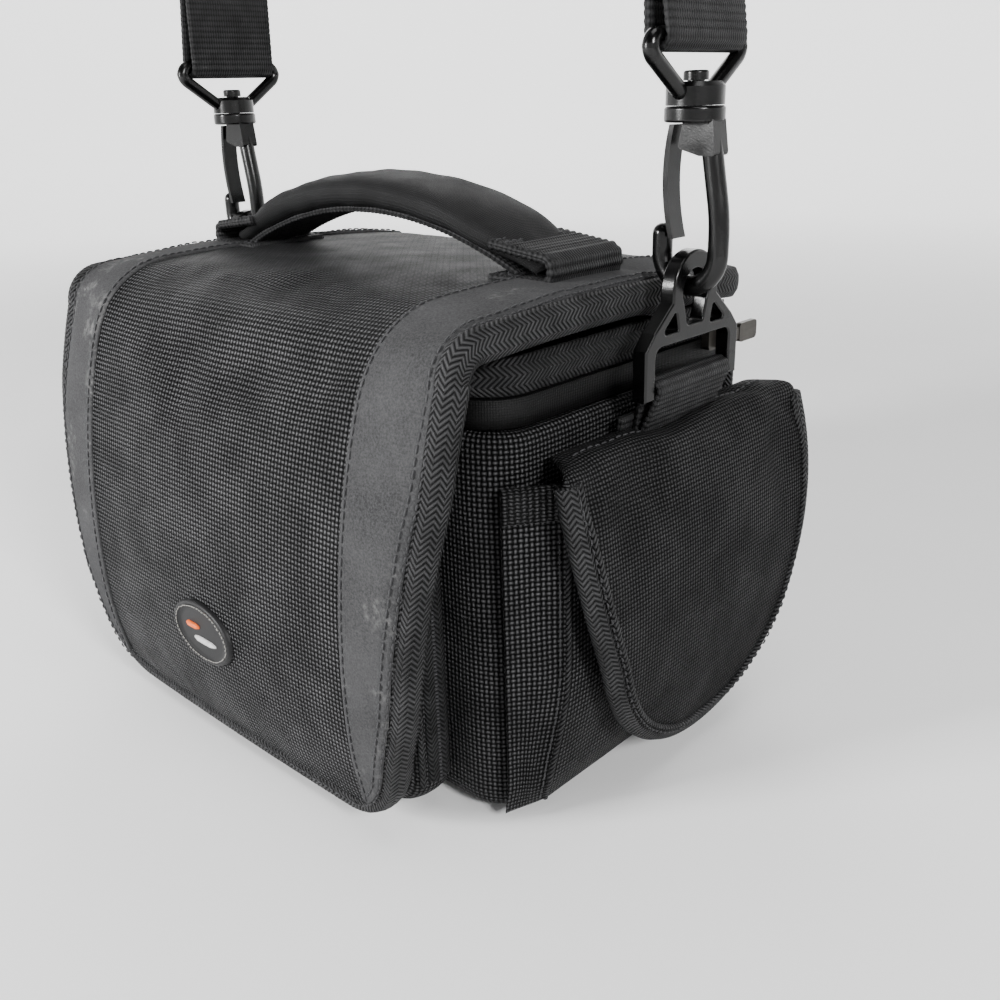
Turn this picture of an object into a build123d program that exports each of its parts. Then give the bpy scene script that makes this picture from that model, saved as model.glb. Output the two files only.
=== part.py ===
"""Camera shoulder bag: padded body, overhanging lid with a front flap, two side pockets, a front pocket,
a top handle and a webbing shoulder strap clipped to a ring on each side.

Millimetres. +X is the bag's left-hand side as worn (the viewer's right when facing the front), the front
faces -Y and +Z is up. Everything is modelled with z = 0 under the bag and x = y = 0 on the plane of the
strap, then lowered by HANG, so that the finished part has its origin where the strap is held.
"""

from build123d import *
import os

os.makedirs("parts", exist_ok=True)

# ---------------------------------------------------------------- driving dimensions
BODY_HALF = 100.0        # half width of the padded body
BODY_FRONT = -71.0
BODY_REAR = 54.0
BODY_TOP = 128.0         # top edge of the padded walls
BODY_CORNER = 15.0
WALL = 7.0               # padded wall with its lining
BASE_THICK = 2.5
GAP = 0.3                # air between neighbouring soft pieces

LID_HALF = 101.0
LID_SIDE = 100.2         # outer face of the lid's binding, just clear of the hooks
LID_FRONT = -88.0
LID_REAR = 57.0
LID_UNDER = 148.3
LID_TOP = 158.0
LID_NOSE = 12.0          # radius where the lid turns down into the front flap
STRIP_WIDTH = 25.0       # suede-like side strips of lid and flap
BIND = 5.0               # width of the braided edge binding

FLAP_THICK = 7.0
FOLD_ROOM = 9.0          # the raised strips stop this far from the fold between lid and flap
FLAP_TOP = 145.6
FLAP_FOOT = 7.5

POCKET_FACE = 112.0      # x of the side pocket's outer face
POCKET_TOP = 113.0
SIDE_FLAP_TOP = 117.0
SIDE_FLAP_THICK = 4.3

WEB_WIDTH = 38.0         # webbing of strap, ring tabs and handle
WEB_THICK = 1.6

RING_X = 112.5           # plane of the side ring
RING_Y = 1.5
RING_BAR_Z = 132.0
HOOK_X = 113.0           # axis of the swivel hook
SWIVEL_Z = 210.0         # face between the hook's flange and the strap ring's collar
STRAP_BAR_Z = 228.0
ARCH_FOOT = (105.5, 300.0)
ARCH_TOP = 403.0
PAD_THICK = 6.0
HANG = ARCH_TOP - WEB_THICK / 2 - GAP - PAD_THICK   # height of the held point above the bag's foot


# ---------------------------------------------------------------- helpers
def span(x, y, z):
    """A box between two x, two y and two z values."""
    size = [abs(b - a) for a, b in (x, y, z)]
    centre = [(a + b) / 2 for a, b in (x, y, z)]
    return Pos(*centre) * Box(*size)


def plan(half_x, y, radius):
    """A rounded rectangle on the ground plane, symmetrical in x."""
    return Pos(0, (y[0] + y[1]) / 2) * RectangleRounded(2 * half_x, y[1] - y[0], radius)


def prism(sketch, z):
    """A flat sketch pulled up between two heights."""
    return extrude(Pos(0, 0, z[0]) * sketch, z[1] - z[0])


def along_y(sketch, y):
    """A sketch drawn as (x, z), pulled along y."""
    return extrude(Plane.XZ.offset(-y[0]) * sketch, -(y[1] - y[0]))


def along_x(sketch, x):
    """A sketch drawn as (y, z), pulled along x."""
    return extrude(Plane.YZ.offset(x[0]) * sketch, x[1] - x[0])


def layer(arc, near, far):
    """The sheet between two copies of a three-point arc, shifted sideways by near and far."""
    a, b = ([(s + shift, t) for s, t in arc] for shift in (near, far))
    edges = [ThreePointArc(*a), Line(a[2], b[2]), ThreePointArc(*b), Line(b[0], a[0])]
    return make_face(edges)


def rounded(points, radii):
    """A closed polygon whose corners are rounded, each by its own radius (0 keeps it sharp)."""
    face = make_face(Polyline(*points, close=True))
    for point, radius in zip(points, radii):
        if radius:
            corner = face.vertices().sort_by_distance(Vector(*point))[0]
            face = fillet(corner, radius)
    return face


def inset(sketch, amount):
    return offset(sketch, -amount, kind=Kind.INTERSECTION)


def ribbon(points, radii, width, thick, y):
    """A flat strap whose centre line is drawn as (x, z), lying across y."""
    face = trace(FilletPolyline(*points, radius=radii), line_width=thick)
    return along_y(face, (y - width / 2, y + width / 2))


def rod(points, radii, radius, plane):
    """A round bar along straight runs and arcs drawn on a plane."""
    line = plane * FilletPolyline(*points, radius=radii)
    start = Plane(origin=line @ 0, z_dir=line % 0)
    return sweep(start * Circle(radius), path=line)


def pin(radius, a, b):
    """A cylinder from point a to point b."""
    axis = Vector(*b) - Vector(*a)
    return extrude(Plane(origin=a, z_dir=axis) * Circle(radius), axis.length)


def mirrored(shape):
    return mirror(shape, about=Plane.YZ)


def save(name, shape):
    """Lower the piece into the part's frame and write it as one node."""
    solids = list(shape.moved(Location((0, 0, -HANG))).solids())
    export_step(solids[0] if len(solids) == 1 else Compound(children=solids), f"parts/{name}.step")


def save_pair(name, shape):
    save(name + "_right", shape)
    save(name + "_left", mirrored(shape))


# ---------------------------------------------------------------- padded body
def body_shell():
    outer = prism(plan(BODY_HALF, (BODY_FRONT, BODY_REAR), BODY_CORNER), (BASE_THICK, BODY_TOP))
    outer = fillet(outer.edges().group_by(Axis.Z)[0], 7)
    cavity = plan(BODY_HALF - WALL, (BODY_FRONT + WALL, BODY_REAR - WALL), BODY_CORNER - WALL)
    return outer - prism(cavity, (BASE_THICK + 3, BODY_TOP))


def base_panel():
    panel = prism(plan(BODY_HALF - 8, (BODY_FRONT + 8, BODY_REAR - 8), 10), (0, BASE_THICK))
    return fillet(panel.edges().group_by(Axis.Z)[0], 1)


def floor_pad():
    room = WALL + 0.8
    pad = prism(plan(BODY_HALF - room, (BODY_FRONT + room, BODY_REAR - room), 7), (5.7, 10.2))
    return fillet(pad.edges().group_by(Axis.Z)[-1], 1.5)


def divider():
    """Padded partition, held inside by hook-and-loop at its two ends."""
    room = WALL + 0.8
    wall = span((20, 26), (BODY_FRONT + room, BODY_REAR - room), (11, 116))
    return fillet(wall.edges().filter_by(Axis.Y) + wall.edges().filter_by(Axis.Z), 2.5)


def rim_band(outer_half, front, rear, thick, z):
    """A band round the front and the two sides, open at the back."""
    outside = plan(outer_half, (front, rear + 40), BODY_CORNER)
    inside = plan(outer_half - thick, (front + thick, rear + 60), BODY_CORNER - thick)
    ring = prism(outside, z) - prism(inside, z)
    return ring - span((-150, 150), (rear, rear + 90), (0, 300))


def back_panel():
    panel = along_y(Pos(0, 76) * RectangleRounded(190, 143, 14), (BODY_REAR + 0.2, LID_REAR + 0.5))
    return fillet(panel.edges().group_by(Axis.Y)[-1], 1)


def belt_loop():
    """A webbing loop on the back, sewn down at its top and bottom."""
    y = LID_REAR + 0.5
    outer = [(y, 108), (y + 1.8, 108), (y + 1.8, 98), (y + 8.6, 92)]
    outer += [(y + 8.6, 40), (y + 1.8, 34), (y + 1.8, 24), (y, 24)]
    inner = [(y, 36), (y + 6.8, 42), (y + 6.8, 90), (y, 96)]
    return along_x(make_face(Polyline(*outer, *inner, close=True)), (-27, 27))


# ---------------------------------------------------------------- lid and front flap
def lid_section(raise_top, under):
    """Side view (y, z) of the lid: crowned top, turned down at the front."""
    top = LID_TOP + raise_top
    nose = LID_FRONT + LID_NOSE
    foot = (LID_FRONT - raise_top, FLAP_TOP + 0.6)
    bulge = (nose - 0.707 * (nose - foot[0]), foot[1] + 0.707 * (top - foot[1]))
    edges = [
        Line((LID_REAR, under), (LID_REAR, top - 2)),
        ThreePointArc((LID_REAR, top - 2), ((LID_REAR + nose) / 2, top + 2), (nose, top)),
        ThreePointArc((nose, top), bulge, foot),
        Line(foot, (LID_FRONT + FLAP_THICK, FLAP_TOP + 0.6)),
        Line((LID_FRONT + FLAP_THICK, FLAP_TOP + 0.6), (nose + 2, under)),
        Line((nose + 2, under), (LID_REAR, under)),
    ]
    return make_face(edges)


def lid_panel():
    half = LID_HALF - BIND
    return along_x(lid_section(0, LID_UNDER), (-half, half))


def lid_binding():
    """Braided binding along both sides of the lid."""
    half = LID_HALF - BIND
    section = lid_section(0, LID_UNDER + 1.2)
    return along_x(section, (half + 0.05, LID_SIDE))


def lid_strip():
    """Suede-like strip lying on the lid beside its binding."""
    half = LID_HALF - BIND
    skin = lid_section(1.1, LID_UNDER) - lid_section(0.05, LID_UNDER - 1)
    strip = along_x(skin, (half - STRIP_WIDTH, half))
    keep = span((0, 150), (LID_FRONT + FOLD_ROOM, LID_REAR), (FLAP_TOP, 200))
    return (strip & keep).solids().sort_by(SortBy.VOLUME)[-1]


FLAP_ARC = [(LID_FRONT, FLAP_TOP), (-103.2, 60.0), (-99.5, FLAP_FOOT)]


def flap_outline(top=FLAP_TOP):
    """Front view (x, z) of the flap: it narrows downwards and has rounded lower corners."""
    side = [(102, top), (102, 118), (92.5, 50), (80, FLAP_FOOT)]
    points = side + [(-x, z) for x, z in reversed(side)]
    return rounded(points, [0, 60, 60, 26, 26, 60, 60, 0])


def flap_piece(outline, near, far):
    """The part of the flap's curved sheet inside an outline."""
    return along_x(layer(FLAP_ARC, near, far), (-110, 110)) & along_y(outline, (-115, -70))


def flap_field(edge):
    """The flap's outline less a margin on its sides and foot."""
    return inset(flap_outline(FLAP_TOP + edge), edge)


def flap_panel():
    return flap_piece(flap_field(BIND), 0, FLAP_THICK)


def flap_binding():
    ring = flap_outline() - flap_field(BIND - 0.05)
    ring = flap_piece(ring, -0.6, FLAP_THICK + 0.6)
    return ring.solids().sort_by(SortBy.VOLUME)[-1]


def flap_strips():
    inner = flap_field(BIND + 0.1)
    band = span((LID_HALF - BIND - STRIP_WIDTH, 120), (-115, -70), (0, FLAP_TOP - FOLD_ROOM))
    one = flap_piece(inner, -1.1, -0.05) & band
    return Compound(children=[one.solid(), mirrored(one).solid()])


def flap_hook_patch():
    patch = Pos(0, 78) * Rectangle(80, 24)
    return flap_piece(patch, FLAP_THICK + 0.02, FLAP_THICK + 1.6)


def badge():
    """Plain oval patch on the flap."""
    oval = Pos(-1, 50.5) * Ellipse(17, 11)
    disc = along_y(oval, (-105.4, -103.7))
    return fillet(disc.faces().sort_by(Axis.Y)[0].edges(), 0.7)


# ---------------------------------------------------------------- carrying handle on the lid
HANDLE_Y = -15.0
HANDLE_ARC = [(-76.0, 171.5), (0.0, 190.5), (76.0, 171.5)]


def handle_sheet(top, under, width):
    """An arched sheet between two copies of the handle's arc, lowered by top and under."""
    a, b = ([(x, z - drop) for x, z in HANDLE_ARC] for drop in (top, under))
    edges = [ThreePointArc(*a), Line(a[2], b[2]), ThreePointArc(*b), Line(b[0], a[0])]
    return along_y(make_face(edges), (HANDLE_Y - width / 2, HANDLE_Y + width / 2))


def handle_pad():
    pad = handle_sheet(0, 5.5, 31)
    return fillet(pad.edges().filter_by(GeomType.CIRCLE), 1.8)


def handle_webbing():
    """Core webbing under the pad, coming out at both ends."""
    return handle_sheet(5.7, 7.5, 27)


def handle_anchor():
    """Folded webbing end, sewn to the lid."""
    points = [(77.6, 169.8), (92.0, 168.2), (92.0, 162.6), (64.0, 162.6)]
    return ribbon(points, [2.4, 2.4], WEB_WIDTH, 2.2, HANDLE_Y)


# ---------------------------------------------------------------- front pocket under the flap
FP_HALF = 78.0
FP_TOP = 106.0


def front_pocket_outline():
    points = [(FP_HALF, FP_TOP), (FP_HALF, 4), (-FP_HALF, 4), (-FP_HALF, FP_TOP)]
    return rounded(points, [22, 12, 12, 22])


def front_pocket_gusset():
    outline = front_pocket_outline()
    return along_y(outline - inset(outline, 2.5), (-84, BODY_FRONT - 0.1))


def front_pocket_face():
    face = along_y(front_pocket_outline(), (-88, -84.1))
    return fillet(face.faces().sort_by(Axis.Y)[0].edges(), 2.5)


def front_pocket_zip():
    """Covered zip tape round the pocket's edge."""
    outline = offset(front_pocket_outline(), 1.1)
    ring = outline - offset(front_pocket_outline(), 0.1)
    return along_y(ring, (-82, -75)) & span((-100, 100), (-90, -60), (20, 120))


def front_pocket_patch():
    return along_y(Pos(0, 78) * Rectangle(80, 24), (-89.4, -88.02))


# ---------------------------------------------------------------- side pockets, right-hand one drawn
def pocket_plan(grow):
    """Top view of the side pocket's outer skin, which stands off the body wall."""
    x0, x1 = BODY_HALF + 0.2, POCKET_FACE + grow
    points = [(x0, -69.5 - grow), (x1, -53 - grow), (x1, 45 + grow), (x0, 52 + grow)]
    return rounded(points, [0, 5, 5, 0])


def side_pocket():
    wall = BODY_HALF + 0.2
    room = Polyline((90, -56), (wall, -56), (109.4, -50), (109.4, 42), (wall, 46), (90, 46), close=True)
    return prism(pocket_plan(0), (4, POCKET_TOP)) - prism(make_face(room), (6.5, POCKET_TOP))


def pocket_band():
    """Elastic band round the pocket's mouth."""
    ring = pocket_plan(1.1) - pocket_plan(0.1)
    band = prism(ring, (POCKET_TOP - 9, POCKET_TOP)) & span((BODY_HALF + 0.3, 130), (-90, 90), (0, 200))
    return band.solids().sort_by(SortBy.VOLUME)[-1]


SIDE_ARC = [(118.0, SIDE_FLAP_TOP), (122.8, 62.0), (117.4, 9.0)]


def side_flap_outline(top=SIDE_FLAP_TOP):
    """Side view (y, z): straight top edge, sides running into a round foot."""
    edges = [
        Line((-63, top), (64, top)),
        ThreePointArc((64, top), (67.5, 86), (61, 52)),
        ThreePointArc((61, 52), (5, 9.5), (-47, 52)),
        ThreePointArc((-47, 52), (-57.5, 84), (-63, top)),
    ]
    return make_face(edges)


def side_piece(outline, near, far):
    return along_y(layer(SIDE_ARC, near, far), (-90, 90)) & along_x(outline, (100, 130))


def side_flap_field(edge):
    return inset(side_flap_outline(SIDE_FLAP_TOP + edge), edge)


def side_flap():
    return side_piece(side_flap_field(BIND), -SIDE_FLAP_THICK, 0)


def side_flap_binding():
    ring = side_flap_outline() - side_flap_field(BIND - 0.05)
    return side_piece(ring, -SIDE_FLAP_THICK, 0.6)


def side_hook_patch():
    return side_piece(Pos(5, 40) * Rectangle(50, 20), -SIDE_FLAP_THICK - 1.3, -SIDE_FLAP_THICK - 0.02)


def side_loop_patch():
    return span((POCKET_FACE + 0.02, POCKET_FACE + 1.2), (-22, 32), (28, 52))


# ---------------------------------------------------------------- ring on each side and its webbing tab
RING_BAR = 2.2
RING_THICK = 5.0


def ring_tab():
    """Webbing looped round the ring's bar, both layers sewn together below it."""
    z, x = RING_BAR_Z, RING_X
    r = RING_BAR + 0.08
    foot = 107.1
    side = r + WEB_THICK
    points = [(x + side, z), (x + side, z - 1), (foot + WEB_THICK, 117), (foot + WEB_THICK, 92)]
    points += [(foot - WEB_THICK, 92), (foot - WEB_THICK, 117), (x - side, z - 1), (x - side, z)]
    edges = [Line(a, b) for a, b in zip(points, points[1:])]
    edges.append(ThreePointArc(points[-1], (x, z + side), points[0]))
    loop = make_face(edges) - Pos(x, z) * Circle(r)
    y = (RING_Y - WEB_WIDTH / 2, RING_Y + WEB_WIDTH / 2)
    return along_y(loop, y)


def side_ring():
    """Flat ring with a slot for the webbing, two small windows and an eye for the hook."""
    z = RING_BAR_Z
    half = [(24.5, z - 2.2), (24.5, z + 13), (20.5, z + 17.5), (11.5, z + 25), (11.5, z + 27.5)]
    outline = make_face(
        [
            Polyline(*half),
            ThreePointArc((11.5, z + 27.5), (0, z + 39), (-11.5, z + 27.5)),
            Polyline(*[(-a, b) for a, b in reversed(half)]),
            Line((-24.5, z - 2.2), (24.5, z - 2.2)),
        ]
    )
    eye_low = rounded([(-6.5, z + 27.1), (-4, z + 17.5), (4, z + 17.5), (6.5, z + 27.1)], [0, 1.5, 1.5, 0])
    eye = Pos(0, z + 27.1) * Circle(6.5) + eye_low
    slot = rounded([(-19.6, z - 5), (-19.6, z + 13), (19.6, z + 13), (19.6, z - 5)], [0, 3, 3, 0])
    window = rounded([(8.2, z + 16.4), (16.8, z + 16.4), (9.8, z + 22.4)], [0.8, 0.8, 0.8])
    face = outline - eye - slot - window - mirror(window, about=Plane.YZ)
    x = (RING_X - RING_THICK / 2, RING_X + RING_THICK / 2)
    plate = along_x(face, x)
    rims = plate.faces().sort_by(Axis.X)
    plate = fillet(rims[0].edges() + rims[-1].edges(), 0.7)
    bar = pin(RING_BAR, (RING_X, -20.5, z), (RING_X, 20.5, z))
    return Pos(0, RING_Y, 0) * (plate + bar)


# ---------------------------------------------------------------- swivel snap hook, right-hand one drawn
HOOK_ROD = 3.0
BEND = 9.5               # centre-line radius of the hook's round foot
FOOT_Z = 160.6           # centre line at the bottom of the foot
NOSE_Z = 175.0


def hook_frame():
    """Flange, shoulder, thick arm, round foot and nose in one moulding."""
    x = HOOK_X
    flange = pin(8.5, (x, 0, SWIVEL_Z - 4.2), (x, 0, SWIVEL_Z))
    flange = fillet(flange.edges(), 0.8)
    shoulder = [(x - 3.2, 199), (x - 1.5, 206.5), (x + 8, 206.5), (x + 9.4, 197), (x + 4.0, 197)]
    shoulder = along_y(rounded(shoulder, [1, 0, 0, 1, 1]), (-3.4, 3.4))
    arm = [(x + 4.8, 206.3), (x + 9.6, 180), (x + BEND, FOOT_Z), (x - BEND, FOOT_Z), (x - BEND, NOSE_Z)]
    arm = rod(arm, [60, BEND - 0.2, BEND - 0.3], HOOK_ROD, Plane.XZ)
    tip = Pos(x - BEND, 0, NOSE_Z) * Sphere(HOOK_ROD)
    return flange + shoulder + arm + tip


def hook_rivet():
    """Rivet through the strap ring's collar, headed on top."""
    x = HOOK_X
    shaft = pin(2.4, (x, 0, SWIVEL_Z + 0.05), (x, 0, SWIVEL_Z + 6.6))
    head = pin(3.5, (x, 0, SWIVEL_Z + 6.6), (x, 0, SWIVEL_Z + 9.2))
    return shaft + fillet(head.edges().group_by(Axis.Z)[-1], 0.7)


def hook_gate():
    """Springy curved leaf that closes the hook from inside."""
    x = HOOK_X
    arc = [(x - 6.2, 205.3), (x - 7.9, 192.5), (x - 5.4, 174.0)]
    return along_y(layer(arc, 0, 1.7), (-3.2, 3.2))


def strap_ring():
    """Loop for the webbing with a collar that turns on the rivet."""
    x, bar = HOOK_X, STRAP_BAR_Z
    half = 21.7
    points = [(0, bar), (half, bar), (half, 223.5), (7, 213.4), (0, 213.2)]
    side = rod(points, [3.5, 4, 6], 2.3, Plane.YZ.offset(x))
    loop = side + mirror(side, about=Plane.XZ)
    collar = pin(8.2, (x, 0, SWIVEL_Z + 0.2), (x, 0, SWIVEL_Z + 6.3))
    collar = chamfer(collar.edges().group_by(Axis.Z)[-1], 1.2)
    room = pin(3.9, (x, 0, SWIVEL_Z + 6.4), (x, 0, SWIVEL_Z + 10))
    bore = pin(2.45, (x, 0, SWIVEL_Z - 1), (x, 0, SWIVEL_Z + 8))
    return loop + collar - bore - room


# ---------------------------------------------------------------- shoulder strap
BAR_WRAP = 2.3 + 0.3 + WEB_THICK / 2


def strap_webbing():
    """One length of webbing from ring to ring, each end folded round the ring's bar and back up."""
    x, z, r = HOOK_X, STRAP_BAR_Z, BAR_WRAP
    foot_x, foot_z = ARCH_FOOT
    slope = (x + r - foot_x) / (foot_z - z)
    folded_end = (x + r - slope * 44 - WEB_THICK - 0.25, z + 44)
    leg = [
        Line((foot_x, foot_z), (x + r, z)),
        ThreePointArc((x + r, z), (x, z - r), (x - r, z)),
        Line((x - r, z), folded_end),
    ]
    lines = leg + [mirror(line, about=Plane.YZ) for line in leg]
    lines.append(ThreePointArc(ARCH_FOOT, (0, ARCH_TOP), (-foot_x, foot_z)))
    face = Sketch() + [trace(line, line_width=WEB_THICK) for line in lines]
    return along_y(face, (-WEB_WIDTH / 2, WEB_WIDTH / 2))


def arch_layer(near, far, reach, width):
    """A sheet that follows the strap's arch, from near to far inside its centre line."""
    foot_x, foot_z = ARCH_FOOT
    rise = ARCH_TOP - foot_z
    radius = (foot_x**2 + rise**2) / (2 * rise)
    centre = ARCH_TOP - radius
    ring = Pos(0, centre) * (Circle(radius - near) - Circle(radius - far))
    wedge = make_face(Polyline((0, centre), (-reach, centre + 160), (reach, centre + 160), close=True))
    return along_y(ring & wedge, (-width / 2, width / 2))


def strap_pad():
    pad = arch_layer(WEB_THICK / 2 + GAP, WEB_THICK / 2 + GAP + PAD_THICK, 175, 58)
    return fillet(pad.edges().filter_by(GeomType.CIRCLE), 2.2)


def pad_keepers():
    """Two sewn bridges that hold the strap on its pad."""
    near, far = -WEB_THICK / 2 - GAP, WEB_THICK / 2 + GAP - 0.02
    wide = WEB_WIDTH + 8
    sleeve = arch_layer(near - 1.2, far, 175, wide) - arch_layer(near, far + 3, 300, WEB_WIDTH + 1)
    bands = [sleeve & (Pos(s * 66, 0, ARCH_TOP - 30) * Box(16, 90, 90)) for s in (-1, 1)]
    return Compound(children=[band.solid() for band in bands])


def strap_adjuster():
    """Three-bar slide: the strap runs over the middle bar, whose loop is the folded-back end."""
    lean, x, z = -8.5, 108.0, 283.5
    along, thick = 22.0, 2.2
    rails = [span((-3.4, 3.4), (s * 20.6, s * 23.4), (-along / 2, along / 2)) for s in (-1, 1)]
    bars = [span((1.3, 1.3 + thick), (-22, 22), (s * along / 2, s * (along / 2 - 3.4))) for s in (-1, 1)]
    middle = span((-3.3, -1.3), (-22, 22), (-1.8, 1.8))
    slide = rails[0] + rails[1] + bars[0] + bars[1] + middle
    return Pos(x, 0, z) * Rot(0, lean, 0) * slide


# ---------------------------------------------------------------- zip sliders and pulls
ZIP_X = 98.0
ZIP_Z = 137.0
ZIP_Y = 38.0
POST_X = 5.2             # from the tape's face to the post that carries a pull


def zip_slider(half_length):
    """Slider body with two lugs and the small post that carries the pull; its outer face looks along +x."""
    body = fillet(span((0.2, 3.0), (-half_length, half_length), (-4, 4)).edges().filter_by(Axis.X), 1.5)
    lugs = [span((2.9, POST_X + 1.1), (-1.5, 1.5), (s * 2.2, s * 3.6)) for s in (-1, 1)]
    post = pin(0.9, (POST_X, 0, -3), (POST_X, 0, 3))
    return body + lugs[0] + lugs[1] + post


def zip_pull(length):
    """Flat pull with an eye round the slider's post, lying rearwards."""
    eye = pin(1.9, (POST_X, 0, -2.0), (POST_X, 0, 2.0))
    neck = span((POST_X - 0.7, POST_X + 0.7), (1.0, length), (-2.0, 2.0))
    grip = span((POST_X - 0.9, POST_X + 0.9), (length - 11, length), (-3.2, 3.2))
    grip = fillet(grip.edges().filter_by(Axis.X), 1.5)
    return eye + neck + grip - pin(0.97, (POST_X, 0, -5), (POST_X, 0, 5))


def main():
    save("body_shell", body_shell())
    save("base_panel", base_panel())
    save("floor_pad", floor_pad())
    save("divider", divider())
    save("back_panel", back_panel())
    save("belt_loop", belt_loop())
    save("body_zip_tape", rim_band(ZIP_X, BODY_FRONT + 2, 44, 2.5, (BODY_TOP + 0.1, ZIP_Z - 0.2)))
    save("lid_zip_tape", rim_band(ZIP_X, BODY_FRONT + 2, 44, 2.5, (ZIP_Z + 0.2, LID_UNDER - 0.02)))

    save("lid_panel", lid_panel())
    save_pair("lid_binding", lid_binding())
    save_pair("lid_strip", lid_strip())
    save("flap_panel", flap_panel())
    save("flap_binding", flap_binding())
    save("flap_strips", flap_strips())
    save("flap_hook_patch", flap_hook_patch())
    save("badge", badge())

    save("handle_pad", handle_pad())
    save("handle_webbing", handle_webbing())
    save_pair("handle_anchor", handle_anchor())

    save("front_pocket_gusset", front_pocket_gusset())
    save("front_pocket_face", front_pocket_face())
    save("front_pocket_zip_tape", front_pocket_zip())
    save("front_pocket_loop_patch", front_pocket_patch())

    save_pair("side_pocket", side_pocket())
    save_pair("pocket_band", pocket_band())
    save_pair("side_loop_patch", side_loop_patch())
    save_pair("side_flap", side_flap())
    save_pair("side_flap_binding", side_flap_binding())
    save_pair("side_hook_patch", side_hook_patch())

    save_pair("ring_tab", ring_tab())
    save_pair("side_ring", side_ring())
    to_left = Pos(-2 * HOOK_X, 0, 0)
    for draw in (hook_frame, hook_rivet, hook_gate, strap_ring):
        save(draw.__name__ + "_right", draw())
        save(draw.__name__ + "_left", to_left * draw())

    save("strap_webbing", strap_webbing())
    save("strap_pad", strap_pad())
    save("pad_keepers", pad_keepers())
    save("strap_adjuster", strap_adjuster())

    place = Pos(ZIP_X, ZIP_Y, ZIP_Z)
    save_pair("zip_slider", place * zip_slider(6))
    save_pair("zip_pull", place * zip_pull(19))
    front = Pos(52, -78.5, FP_TOP + 1.0) * Rot(0, 0, 90) * Rot(0, -90, 0)
    save("front_zip_slider", front * zip_slider(5))
    save("front_zip_pull", front * zip_pull(17))


main()
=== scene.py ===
"""Looks of the camera bag: padded fabric, bindings, stitching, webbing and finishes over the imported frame.

Drawing is done in millimetres with z = 0 under the bag. Each mesh is then lowered
into the shared frame.
"""

import math

import bmesh
import bpy
import numpy as np
from mathutils import Matrix, Vector
from mathutils.bvhtree import BVHTree


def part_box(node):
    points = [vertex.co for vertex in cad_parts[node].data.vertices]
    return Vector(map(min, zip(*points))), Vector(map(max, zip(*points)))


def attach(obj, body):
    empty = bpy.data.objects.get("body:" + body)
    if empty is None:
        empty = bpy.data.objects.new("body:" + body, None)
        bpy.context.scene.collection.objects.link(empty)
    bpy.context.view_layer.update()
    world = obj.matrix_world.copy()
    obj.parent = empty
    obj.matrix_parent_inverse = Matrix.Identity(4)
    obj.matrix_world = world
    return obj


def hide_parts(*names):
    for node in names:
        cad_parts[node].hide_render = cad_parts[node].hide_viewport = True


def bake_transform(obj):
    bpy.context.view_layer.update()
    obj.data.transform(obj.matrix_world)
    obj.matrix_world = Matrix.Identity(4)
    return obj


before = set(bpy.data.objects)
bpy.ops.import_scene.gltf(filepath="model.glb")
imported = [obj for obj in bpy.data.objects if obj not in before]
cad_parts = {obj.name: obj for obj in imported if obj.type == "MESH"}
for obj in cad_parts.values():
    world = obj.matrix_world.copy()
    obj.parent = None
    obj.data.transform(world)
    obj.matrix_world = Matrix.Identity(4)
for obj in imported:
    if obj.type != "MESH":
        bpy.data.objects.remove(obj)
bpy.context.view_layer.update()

MM = 0.001
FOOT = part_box("base_panel")[0].z        # height of the bag's underside in the shared frame
rng = np.random.default_rng(11)
scene = bpy.context.scene


# ---------------------------------------------------------------- drawing tools
def unit(v):
    return v / np.maximum(np.linalg.norm(v, axis=-1, keepdims=True), 1e-9)


def lengths(path):
    return np.r_[0, np.cumsum(np.linalg.norm(np.diff(path, axis=0), axis=1))]


def resample(path, step):
    """The same line with evenly spaced points."""
    path = np.asarray(path, float)
    s = lengths(path)
    t = np.linspace(0, s[-1], max(2, int(round(s[-1] / step)) + 1))
    return np.stack([np.interp(t, s, path[:, k]) for k in range(path.shape[1])], 1)


def arc3(a, b, c, count=24):
    """Points on the circle through three flat points, from a by b to c."""
    a, b, c = (np.array(p, float) for p in (a, b, c))
    rows = np.array([b - a, c - a])
    centre = a + np.linalg.solve(2 * rows, (rows**2).sum(1))
    angles = np.unwrap([math.atan2(*(p - centre)[::-1]) for p in (a, b, c)])
    t = np.linspace(angles[0], angles[2], count)
    return centre + np.linalg.norm(a - centre) * np.stack([np.cos(t), np.sin(t)], 1)


def rounded(points, radii, closed=False, steps=9):
    """A flat polyline with its corners rounded."""
    points = [np.array(p, float) for p in points]
    out = []
    for i, (p, r) in enumerate(zip(points, radii)):
        if not r or (not closed and i in (0, len(points) - 1)):
            out.append(p)
            continue
        a, b = unit(points[i - 1] - p), unit(points[(i + 1) % len(points)] - p)
        half = math.acos(float(np.clip(a @ b, -1, 1))) / 2
        centre = p + unit(a + b) * (r / math.sin(half))
        start, end = p + a * r / math.tan(half) - centre, p + b * r / math.tan(half) - centre
        for t in np.linspace(0, 1, steps):
            out.append(centre + unit(start * (1 - t) + end * t) * r)
    if closed:
        out.append(out[0])
    return np.array(out)


def left_of(path, closed=False):
    """Unit directions a quarter turn to the left of a flat path."""
    t = np.gradient(path, axis=0)
    if closed:
        t[0] = t[-1] = path[1] - path[-2]
    t = unit(t)
    return np.stack([-t[:, 1], t[:, 0]], 1)


def shifted(edge, amount):
    """A drawn edge moved towards its panel, which is on the left of it."""
    return edge + left_of(edge) * amount


def at_depth(path, y):
    """A path drawn in the upright x-z plane, placed at depth y."""
    return np.insert(np.asarray(path, float), 1, y, axis=1)


def smooth(t):
    t = np.clip(t, 0, 1)
    return t * t * (3 - 2 * t)


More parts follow.
